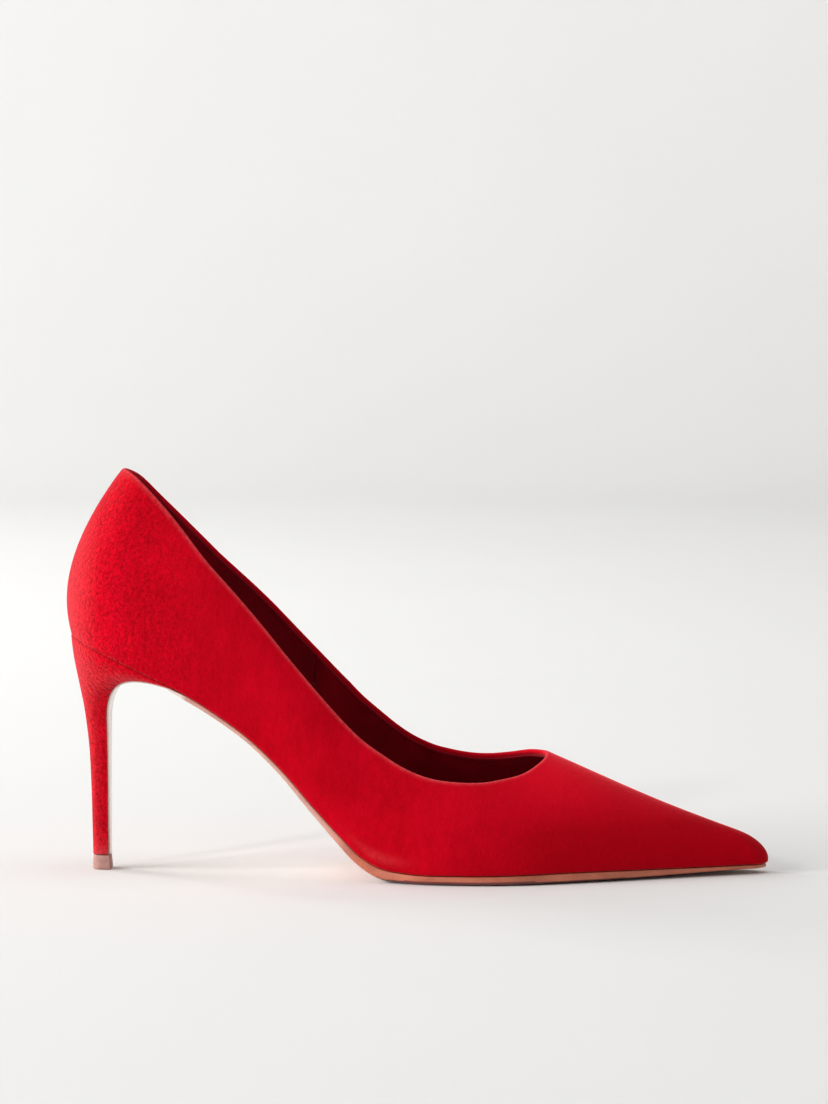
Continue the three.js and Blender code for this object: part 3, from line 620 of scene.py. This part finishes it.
# ---- heel ----
def stem_points(a, z, inset, front=BREAST_X):
    """Points round the D-shaped stem: a is 0 at the rear and 1 or -1 at the corners of the breast."""
    share = np.abs(a)
    rear = stem_rear(z) + inset
    x = rear + (front - rear) * (1 - np.cos(share * np.pi / 2))
    half = stem_half(z) - inset
    return points(x, np.sign(a) * half * np.sin(np.minimum(1, share / 0.7) * np.pi / 2), z)


def heel_columns(share, side, inset):
    """Lines down one side of the heel, from the seat through the cup and down the stem."""

    def offset(rear, wing, power):
        """How far a control point of the cup stands off its end, from the rear round to the wing."""
        return mix(np.array(rear, float), np.array(wing, float), share[:, None] ** power)

    top = on_bottom(WING_TIP * share, side, inset + 0 * share, -GAP + 0 * share)
    bottom = stem_points(share * side, CUP_Z + 0 * share, inset)
    below = top + offset((0.4, 0, -9), (-14, -side, 4.5), 3)
    above = bottom + offset((-1.2, 0, 9), (0.3, 3 * side, 16), 2)
    f = np.linspace(0, 1, HEEL_ROWS)[None, :, None]
    g = 1 - f
    top, below, above, bottom = [point[:, None] for point in (top, below, above, bottom)]
    cup = top * g**3 + 3 * f * g * g * below + 3 * f * f * g * above + bottom * f**3
    z = np.linspace(CUP_Z, TIP_Z + GAP, HEEL_ROWS)[None, 1:]
    return np.concatenate([cup, stem_points((share * side)[:, None], z, inset)], 1)


def heel_cover_grids():
    """The suede round the heel, with its edges turned in."""
    share = np.concatenate([np.linspace(0, 0.96, 40), [0.985, 1.0]])
    grids = []
    for side in (LATERAL, MEDIAL):
        outer = heel_columns(share, side, 0)
        inner = heel_columns(share, side, HEEL_COVER)
        shoulder = [
            on_bottom(WING_TIP * share, side, inset + 0 * share, height + 0 * share)
            for inset, height in ((0.65, -0.06), (0.3, -0.16), (0.08, -0.45))
        ]
        outer = np.concatenate([np.stack(shoulder, 1), outer[:, 1:]], 1)
        inner = np.concatenate([inner[:, :1], inner[:, :1], inner], 1)
        ends = [np.stack([outer[-1], inner[-1]])]
        ends += [np.stack([outer[:, row], inner[:, row]]) for row in (0, -1)]
        grids += [outer, inner, *ends]
    return grids


def heel_wear(grids):
    """How worn the suede of the heel is: near the ground and at the corners of the breast."""
    near_ground = np.exp(-(grids[0][..., 2] - TIP_Z) / 2.5)
    corner = np.linspace(0, 1, len(grids[0]))[:, None] ** 60
    return [np.maximum(near_ground, 0.8 * corner), 0, 1, 0, 1] * 2


def top_piece_rings():
    """The small block on the ground: it flares a little and its edges are eased."""
    a = np.linspace(-1, 1, 49)
    front = BREAST_X + FLAP[1]
    # Height, how far the block flares there, and how far its front is moved forward.
    levels = [
        (0, -0.2, 0.0), (0.12, 0, 0.13), (0.35, 0.1, 0.2), (1.2, 0.1, 0.2),
        (3, 0.03, 0.05), (4.8, -0.04, -0.1), (5.05, -0.12, -0.18), (TIP_Z, -0.3, -0.36),
    ]
    rings = []
    for z, flare, forward in levels:
        ring = stem_points(a, TIP_Z + 0 * a, -flare, front + forward)
        ring[:, 2] = z
        rings.append(ring)
    return np.stack(rings)


# ---- stitches ----
def stitches(path, up):
    """Grids of short threads along a path, each one dipping into the surface at its ends."""
    steps = np.linalg.norm(np.diff(path, axis=0), axis=-1)
    marks = np.concatenate([[0], np.cumsum(steps)])
    angles = np.linspace(0, 2 * np.pi, 7)
    grids = []
    for start in np.arange(STITCH_GAP, marks[-1] - STITCH, STITCH + STITCH_GAP):
        at = start + STITCH * np.linspace(0, 1, 7)
        line = np.stack([np.interp(at, marks, path[:, i]) for i in range(3)], -1)
        out = unit(np.stack([np.interp(at, marks, up[:, i]) for i in range(3)], -1))
        arch = np.sin(np.linspace(0, np.pi, 7))[:, None]
        along = unit(np.gradient(line, axis=0))
        sideways = np.cross(along, out)
        thick = THREAD_RADIUS * (0.45 + 0.55 * np.sqrt(arch))
        centre = line + out * THREAD_RADIUS * (arch * 1.2 - 0.7)
        ring = [centre + thick * (sideways * math.cos(a) + out * math.sin(a)) for a in angles]
        grids.append(np.stack(ring, 1))
    return grids


# ---- finishes ----
def grey(level):
    """A colour without hue."""
    return (level, level, level)


class Finish:
    """A node material round one Principled shader, with short calls for its textures."""

    def __init__(self, name, **sockets):
        """Starts the material, with these values on the shader's own sockets."""
        self.material = bpy.data.materials.new(name)
        self.material.use_nodes = True
        self.nodes = self.material.node_tree.nodes
        self.links = self.material.node_tree.links
        self.shader = self.nodes["Principled BSDF"]
        for socket, value in sockets.items():
            self.shader.inputs[socket.replace("_", " ")].default_value = value

    def feed(self, socket, value):
        """Links a source to an input socket, or sets the socket to a plain value."""
        if isinstance(value, bpy.types.NodeSocket):
            self.links.new(value, socket)
        else:
            socket.default_value = value

    def add(self, kind, links=(), **inputs):
        """A node of this kind, with these links into it and these values of its other inputs."""
        node = self.nodes.new(kind)
        for name, value in inputs.items():
            node.inputs[name.replace("_", " ")].default_value = value
        for name, source in dict(links).items():
            self.links.new(source, node.inputs[name])
        return node

    def where(self, stretch=(1, 1, 1)):
        """Object coordinates, stretched along the axes."""
        place = self.add("ShaderNodeTexCoord").outputs["Object"]
        return self.add("ShaderNodeMapping", {"Vector": place}, Scale=stretch).outputs["Vector"]

    def noise(self, size, detail=2.0, roughness=0.5, stretch=(1, 1, 1)):
        """Noise whose features are about this many mm across."""
        node = self.add(
            "ShaderNodeTexNoise", {"Vector": self.where(stretch)},
            Scale=1 / (size * MM), Detail=detail, Roughness=roughness,
        )
        return node.outputs["Fac"]

    def cells(self, size):
        """Distance to the nearest of scattered points, about this many mm apart."""
        node = self.add("ShaderNodeTexVoronoi", {"Vector": self.where()}, Scale=1 / (size * MM))
        return node.outputs["Distance"]

    def mark(self):
        """The mark given to each point of the piece."""
        node = self.add("ShaderNodeAttribute")
        node.attribute_name = "mark"
        return node.outputs["Fac"]

    def along(self, axis):
        """The object coordinate on one axis, in metres."""
        place = self.add("ShaderNodeTexCoord").outputs["Object"]
        return self.add("ShaderNodeSeparateXYZ", {"Vector": place}).outputs[axis]

    def waves(self, size, axis):
        """Parallel waves across an axis, about this many mm apart."""
        scale = 1 / (size * MM) / 3.14  # at scale 1 there are about 3.14 waves in a metre
        node = self.add("ShaderNodeTexWave", {"Vector": self.where()}, Scale=scale)
        node.bands_direction = axis
        return node.outputs["Fac"]

    def ramp(self, source, *stops):
        """Colours at positions of a value."""
        node = self.add("ShaderNodeValToRGB", {"Fac": source})
        ramp = node.color_ramp
        while len(ramp.elements) < len(stops):
            ramp.elements.new(0.5)
        for element, (position, color) in zip(ramp.elements, stops):
            element.position = position
            element.color = (*color, 1)
        return node.outputs["Color"]

    def blend(self, a, b, share, kind="MIX"):
        """Two colours mixed. Either may be a socket or a plain colour, and so may the share."""
        node = self.nodes.new("ShaderNodeMix")
        node.data_type = "RGBA"
        node.blend_type = kind
        self.feed(node.inputs[0], share)
        for index, color in ((6, a), (7, b)):
            self.feed(node.inputs[index], (*color, 1) if isinstance(color, tuple) else color)
        return node.outputs[2]

    def range(self, source, low, high, start=0.0, end=1.0):
        """A value that goes from low to high while the source goes from start to end."""
        node = self.add("ShaderNodeMapRange", {"Value": source})
        for name, value in (("From Min", start), ("From Max", end), ("To Min", low), ("To Max", high)):
            node.inputs[name].default_value = value
        return node.outputs["Result"]

    def combine(self, operation, a, b):
        """A value worked out from two others, each of them a socket or a number."""
        node = self.nodes.new("ShaderNodeMath")
        node.operation = operation
        self.feed(node.inputs[0], a)
        self.feed(node.inputs[1], b)
        return node.outputs["Value"]

    def product(self, a, b):
        """One value times another."""
        return self.combine("MULTIPLY", a, b)

    def average(self, a, b):
        """The value halfway between two others."""
        return self.combine("MULTIPLY", self.combine("ADD", a, b), 0.5)

    def bump(self, height, depth, strength, under=None):
        """A bump of this many mm, over another one."""
        links = {"Height": height} if under is None else {"Height": height, "Normal": under}
        node = self.add("ShaderNodeBump", links, Distance=depth * MM, Strength=strength)
        return node.outputs["Normal"]

    def use(self, **sources):
        """The material, with these sources linked to the shader's sockets."""
        for socket, source in sources.items():
            self.links.new(source, self.shader.inputs[socket.replace("_", " ")])
        return self.material


def suede(name, dark, light, painted_highlight_tone, wear_and_highlight_tone):
    """Brushed suede: a nap that changes tone in patches and streaks, short fibres, worn edges, and
    painted highlights and shade.
    """
    look = Finish(
        name, Roughness=0.95, Specular_IOR_Level=0.03,
        Sheen_Weight=0.9, Sheen_Roughness=0.34, Sheen_Tint=(1.0, 0.16, 0.18, 1),
    )
    x, z = look.along("X"), look.along("Z")
    patches = look.ramp(look.noise(26, 3, 0.5), (0.34, dark), (0.66, light))
    streaks = look.noise(2.6, 5, 0.62, (1, 1, 0.45))
    nap = look.blend(patches, look.ramp(streaks, (0.32, dark), (0.72, light)), 0.45)
    # Painted light: the top of the vamp is painted lighter as a highlight, its foot darker as painted
    # shade, and the back lighter as a painted highlight.
    on_vamp = look.range(x, 0, 1, 0.0, 0.05)
    painted_light_mask = look.product(on_vamp, look.range(z, 0, 1, 0.018, 0.05))
    painted_low_shade = look.product(on_vamp, look.range(z, 0.8, 0, 0.012, 0.034))
    even = look.blend(look.blend(nap, dark, painted_low_shade), painted_highlight_tone, painted_light_mask)
    # Painted highlight: the back is painted a little lighter, and its rear edge lighter still.
    with_painted_back_highlight = look.blend(even, painted_highlight_tone, look.range(x, 0.1, 0, -0.09, -0.03))
    brushed = look.blend(with_painted_back_highlight, wear_and_highlight_tone, look.range(x, 0.42, 0, -0.124, -0.111))
    # Tufts and fibres show as flecks in the colour and the bump, most of all round the back, where the
    # colour flecks are also a painted sheen of fibres catching the light.
    ruffled_with_painted_sheen = look.range(x, 1, 0.16, -0.108, -0.068)
    tufts, fibres = look.noise(1.3, 3, 0.65), look.noise(0.5, 2, 0.7)
    flecks = look.ramp(look.average(tufts, fibres), (0.36, grey(0.27)), (0.64, grey(0.82)))
    speckled = look.blend(brushed, look.blend(grey(0.5), flecks, ruffled_with_painted_sheen), 0.9, "OVERLAY")
    # How worn the suede is, by the piece's marks; on the upper these marks also paint highlights on
    # the folded edge and at the ball.
    wear_and_highlight = look.product(look.mark(), look.range(look.noise(1.5, 3), 0.35, 0.95, 0.3, 0.7))
    pile = look.bump(look.product(tufts, ruffled_with_painted_sheen), 0.9, 1.0, look.bump(streaks, 0.4, 0.35))
    return look.use(
        Base_Color=look.blend(speckled, wear_and_highlight_tone, wear_and_highlight),
        Normal=look.bump(look.product(fibres, ruffled_with_painted_sheen), 0.3, 0.9, pile),
        Roughness=look.range(fibres, 0.86, 1.0),
    )


def kid(name, dark, light, pores=0.9):
    """Soft lining leather with small creases and pores."""
    look = Finish(name, Roughness=0.7, Specular_IOR_Level=0.1)
    tone = look.ramp(look.noise(14, 4), (0.3, dark), (0.75, light))
    normal = look.bump(look.cells(pores), 0.06, 0.6, look.bump(look.noise(5, 5, 0.6), 0.25, 0.3))
    return look.use(Base_Color=tone, Normal=normal, Roughness=look.range(look.noise(2), 0.6, 0.8))


def sole_leather(name):
    """Sole leather by its mark: 0 the face, 0.5 the foot of its edge, painted dark as shade, 1 the cut
    edge.

    The face and the edge are painted pale where they rise off the ground, up to the waist, as a
    painted reflection.
    """
    look = Finish(name, Roughness=0.4, Specular_IOR_Level=0.5, Coat_Weight=0.3, Coat_Roughness=0.12)
    fibres = look.noise(5, 6, 0.6, (0.25, 1, 1))
    cut = look.ramp(fibres, (0.28, (0.36, 0.078, 0.036)), (0.74, (0.60, 0.168, 0.086)))
    # Painted reflection: the pale tone painted where the leather rises off the ground.
    painted_reflection = look.ramp(fibres, (0.28, (0.70, 0.56, 0.50)), (0.74, (0.82, 0.69, 0.62)))
    # Painted shade: the dark tone painted on the foot of the cut edge.
    painted_shade = look.ramp(fibres, (0.28, (0.10, 0.014, 0.012)), (0.74, (0.17, 0.030, 0.024)))
    painted_light_mask = look.range(look.along("Z"), 0, 1, 0.008, 0.02)
    face_tone = look.blend(cut, painted_reflection, look.range(painted_light_mask, 0.35, 1))
    trimmed = look.blend(cut, painted_reflection, look.range(painted_light_mask, 0, 0.35))
    edge = look.mark()
    lower = look.blend(face_tone, look.blend(painted_shade, painted_reflection, painted_light_mask), look.range(edge, 0, 1, 0, 0.5))
    tone = look.blend(lower, trimmed, look.range(edge, 0, 1, 0.72, 0.95))
    grain = look.ramp(look.noise(0.5, 3), (0.3, grey(0.42)), (0.7, grey(0.56)))
    return look.use(
        Base_Color=look.blend(tone, grain, 0.6, "OVERLAY"),
        Normal=look.bump(look.noise(0.7, 4), 0.05, 0.5, look.bump(fibres, 0.12, 0.25)),
        Roughness=look.range(edge, 0.2, 0.55),
    )


def rubber(name):
    """The moulded material of the top piece, with a fine matt grain."""
    look = Finish(name, Roughness=0.6, Specular_IOR_Level=0.35)
    tone = look.ramp(look.noise(1.6, 4), (0.3, (0.36, 0.175, 0.15)), (0.75, (0.47, 0.25, 0.215)))
    normal = look.bump(look.noise(0.3, 3), 0.05, 0.6)
    return look.use(Base_Color=tone, Normal=normal, Roughness=look.range(look.noise(1.1), 0.5, 0.72))


def fibreboard(name):
    """Pressed board of leather fibres, with a streaky surface."""
    look = Finish(name, Roughness=0.85)
    fibres = look.noise(1.4, 6, 0.65, (0.3, 1, 1))
    tone = look.ramp(fibres, (0.3, (0.30, 0.23, 0.15)), (0.72, (0.47, 0.38, 0.27)))
    return look.use(Base_Color=tone, Normal=look.bump(fibres, 0.15, 0.6))


def cloth(name):
    """Woven interlining cloth."""
    look = Finish(name, Roughness=0.9, Sheen_Weight=0.2)
    weave = look.blend(look.waves(0.6, "X"), look.waves(0.6, "Z"), 0.5)
    tone = look.ramp(weave, (0.2, (0.55, 0.50, 0.41)), (0.8, (0.78, 0.74, 0.66)))
    return look.use(Base_Color=tone, Normal=look.bump(weave, 0.12, 0.7))


def foam(name):
    """Cork and foam filler with open cells."""
    look = Finish(name, Roughness=0.95)
    cells = look.cells(0.8)
    tone = look.ramp(cells, (0.1, (0.42, 0.33, 0.22)), (0.6, (0.68, 0.58, 0.43)))
    return look.use(Base_Color=tone, Normal=look.bump(cells, 0.2, 0.8))


def heel_plastic(name):
    """Black moulded plastic."""
    look = Finish(name, Roughness=0.5)
    tone = look.ramp(look.noise(8, 3), (0.3, (0.018, 0.018, 0.02)), (0.7, (0.035, 0.035, 0.038)))
    return look.use(Base_Color=tone, Normal=look.bump(look.noise(0.9, 2), 0.04, 0.5))


def steel(name):
    """Brushed steel."""
    look = Finish(name, Metallic=1.0, Roughness=0.32)
    brushed = look.noise(0.5, 4, 0.6, (0.06, 1, 1))
    tone = look.ramp(brushed, (0.3, (0.42, 0.43, 0.45)), (0.7, (0.62, 0.63, 0.65)))
    rough = look.range(brushed, 0.24, 0.45)
    return look.use(Base_Color=tone, Roughness=rough, Normal=look.bump(brushed, 0.03, 0.4))


def thread(name, dark, light):
    """Twisted sewing thread."""
    look = Finish(name, Roughness=0.7, Specular_IOR_Level=0.1)
    twist = look.waves(0.35, "DIAGONAL")
    tone = look.ramp(twist, (0.2, dark), (0.8, light))
    return look.use(Base_Color=tone, Normal=look.bump(twist, 0.05, 0.7))


# The dark and light tones of each suede, the lit tone of its painted highlights, and the tone of its
# wear and painted highlights.
RED = (0.36, 0.0, 0.005), (0.54, 0.0005, 0.011), (0.90, 0.004, 0.022), (0.70, 0.07, 0.08)
MAROON = (0.06, 0.0, 0.002), (0.11, 0.001, 0.005), (0.13, 0.002, 0.007), (0.16, 0.01, 0.02)
RED_SUEDE = suede("red_suede", *RED)
GRIP_SUEDE = suede("grip_suede", *MAROON)
LINING_KID = kid("maroon_kid", (0.17, 0.0, 0.005), (0.29, 0.0006, 0.009))
SOCK_KID = kid("sock_kid", (0.16, 0.0005, 0.006), (0.27, 0.001, 0.01), 1.2)
SOLE = sole_leather("tan_sole_leather")
TOP_PIECE = rubber("nude_top_piece")
BOARD = fibreboard("fibreboard")
CLOTH = cloth("interlining_cloth")
FOAM = foam("cork_foam")
HEEL_PLASTIC = heel_plastic("heel_plastic")
STEEL = steel("brushed_steel")
THREAD = thread("maroon_thread", (0.07, 0.0, 0.004), (0.16, 0.004, 0.012))

# What the inner pieces are made of, which stay as the CAD part has them.
CAD_FINISHES = [
    (BOARD, ["heel_counter", "insole_board"]),
    (CLOTH, ["toe_puff", "interlining_lateral", "interlining_medial"]),
    (FOAM, ["forepart_filler"]),
    (HEEL_PLASTIC, ["heel_core"]),
    (STEEL, ["shank", "shank_rivet_front", "shank_rivet_rear", "heel_tube", "top_piece_pin"]),
    (STEEL, ["heel_screw", *[f"heel_nail_{number}" for number in range(1, 5)]]),
]
for finish, nodes in CAD_FINISHES:
    for node in nodes:
        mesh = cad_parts[node].data
        mesh.materials.clear()
        mesh.materials.append(finish)

# ---- the shoe ----
upper, wear_and_highlight = [], []
for side in SIDES.values():
    outer, rim = upper_outer(side), upper_rim(side)
    upper += [outer, rim, upper_inner(side)]
    wear_and_highlight += [*upper_wear_and_highlights(outer, rim, side), 0]
piece("upper_suede", upper, RED_SUEDE, ["upper_outer"], wear_and_highlight)

vamp_k = with_edges(QUARTER_END + LINING_SEAM, VAMP_LINING_END, 0.2)
vamp = [grid for side in SIDES.values() for grid in lining_grids(vamp_k, side, LINING, EDGE_DROP)]
piece("vamp_lining_kid", vamp, LINING_KID, ["vamp_lining"])
quarter_k = with_edges(LINING_SEAM, QUARTER_END - LINING_SEAM, 0.2)
for name, side in SIDES.items():
    grids = lining_grids(quarter_k, side, LINING, EDGE_DROP)
    piece(f"quarter_lining_kid_{name}", grids, LINING_KID, [f"quarter_lining_{name}"])
grip_k = with_edges(0, 5, 0.15)
grip = [grid for side in SIDES.values() for grid in lining_grids(grip_k, side, GRIP, GRIP_DROP)]
piece("heel_grip_suede", grip, GRIP_SUEDE, ["heel_grip"])

stitched_k = np.linspace(0.1, THROAT_COLUMN, 500)
for name, side in SIDES.items():
    line, inward = on_wall(stitched_k, side, np.array([1.0]), LINING[1], EDGE_DROP + STITCH_DROP)
    piece(f"topline_stitches_{name}", stitches(line[:, 0], inward[:, 0]), THREAD)
    tape = tape_grids(side)
    piece(f"topline_tape_cloth_{name}", tape, CLOTH, [f"topline_tape_{name}"])

sock = plate_grids(0, TOE_COLUMN, SOCK, SOCK_INSET, 0.4)
piece("sock_kid", sock, SOCK_KID, ["sock_lining"])
heel_pad = plate_grids(0, 8, (PADS_BASE, HEEL_PAD_TOP), 7, 5, flat_under=True)
piece("sock_heel_cushion", heel_pad, SOCK_KID, ["sock_heel_pad"])
ball_pad = plate_grids(20, 27, (PADS_BASE, BALL_PAD_TOP), 13, 6, flat_under=True)
piece("sock_ball_cushion", ball_pad, SOCK_KID, ["sock_ball_pad"])

sole, flap = sole_rings(), flap_rings()
outsole = closed_tube(np.concatenate([sole, flap]))
piece("outsole_leather", outsole, SOLE, ["outsole"], sole_marks(sole, flap))
cover = heel_cover_grids()
piece("heel_cover_suede", cover, RED_SUEDE, ["heel_cover"], heel_wear(cover))
piece("top_piece_block", closed_tube(top_piece_rings()), TOP_PIECE, ["top_piece"])


# ---- studio ----
def studio_bowl():
    """A pale floor that turns up a little all round."""
    look = Finish("studio_paper", Roughness=0.9, Specular_IOR_Level=0.1)
    paper = look.ramp(look.noise(300, 2), (0.3, (0.775, 0.772, 0.76)), (0.7, (0.785, 0.782, 0.77)))
    floor, bend = 2.2, 1.2  # radius of the flat and of the bend round it, in metres
    turn = np.linspace(0, np.pi / 2, 25)
    radius = np.concatenate([[0.001, 0.5, 1.2], floor + bend * np.sin(turn)])
    height = np.concatenate([[0, 0, 0], bend * (1 - np.cos(turn))])
    around = np.linspace(0, 2 * np.pi, 97)[None, :]
    grid = points(radius[:, None] * np.cos(around), radius[:, None] * np.sin(around), height[:, None])
    number = np.arange(grid.shape[0] * grid.shape[1]).reshape(grid.shape[:2])
    mesh = bpy.data.meshes.new("studio_bowl")
    mesh.from_pydata(grid.reshape(-1, 3).tolist(), [], quads(number))
    for face in mesh.polygons:
        face.use_smooth = True
    mesh.materials.append(look.use(Base_Color=paper))
    bowl = bpy.data.objects.new("studio_bowl", mesh)
    bpy.context.scene.collection.objects.link(bowl)


def softbox(name, place, aim, size, power):
    """A white rectangular lamp of this size in metres and power in watts, turned to aim."""
    light = bpy.data.lights.new(name, "AREA")
    light.shape = "RECTANGLE"
    light.size, light.size_y = size
    light.energy = power
    lamp = bpy.data.objects.new(name, light)
    lamp.location = place
    lamp.rotation_euler = (Vector(aim) - Vector(place)).to_track_quat("-Z", "Y").to_euler()
    bpy.context.scene.collection.objects.link(lamp)


def daylight(color, strength):
    """Even light from all round."""
    world = bpy.data.worlds.new("studio_air")
    world.use_nodes = True
    background = world.node_tree.nodes["Background"]
    background.inputs["Color"].default_value = (*color, 1)
    background.inputs["Strength"].default_value = strength
    bpy.context.scene.world = world


def camera(aim, azimuth, elevation, distance, lens):
    """Looks at aim from azimuth degrees round towards the toe and elevation degrees up."""
    a, e = math.radians(azimuth), math.radians(elevation)
    back = Vector((math.sin(a) * math.cos(e), -math.cos(a) * math.cos(e), math.sin(e)))
    data = bpy.data.cameras.new("camera")
    data.lens = lens
    data.sensor_width = 36
    data.clip_start, data.clip_end = 0.05, 20
    made = bpy.data.objects.new("camera", data)
    made.location = Vector(aim) + back * distance
    made.rotation_euler = (-back).to_track_quat("-Z", "Y").to_euler()
    bpy.context.scene.collection.objects.link(made)
    bpy.context.scene.camera = made


studio_bowl()
softbox("key", (-2.3, -0.8, 0.95), (0, 0, 0.05), (1.4, 1.2), 58)
softbox("front", (-1.35, -1.5, 0.95), (0, 0, 0.05), (0.12, 0.12), 8)
softbox("rim", (-1.7, 0.9, 0.8), (-0.1, 0, 0.08), (0.8, 0.8), 14)
softbox("top", (0.3, 0.0, 2.1), (0, 0, 0), (1.2, 1.2), 7)
softbox("backdrop", (-1.8, 1.0, 2.0), (-1.1, 4.5, 0.2), (1.5, 0.8), 44)
daylight((1.0, 0.995, 0.985), 0.42)
camera((-0.0012, 0.001, 0.1136), 2.4, 4.18, 1.4963, 137.8)
bpy.context.scene.view_settings.view_transform = "Standard"
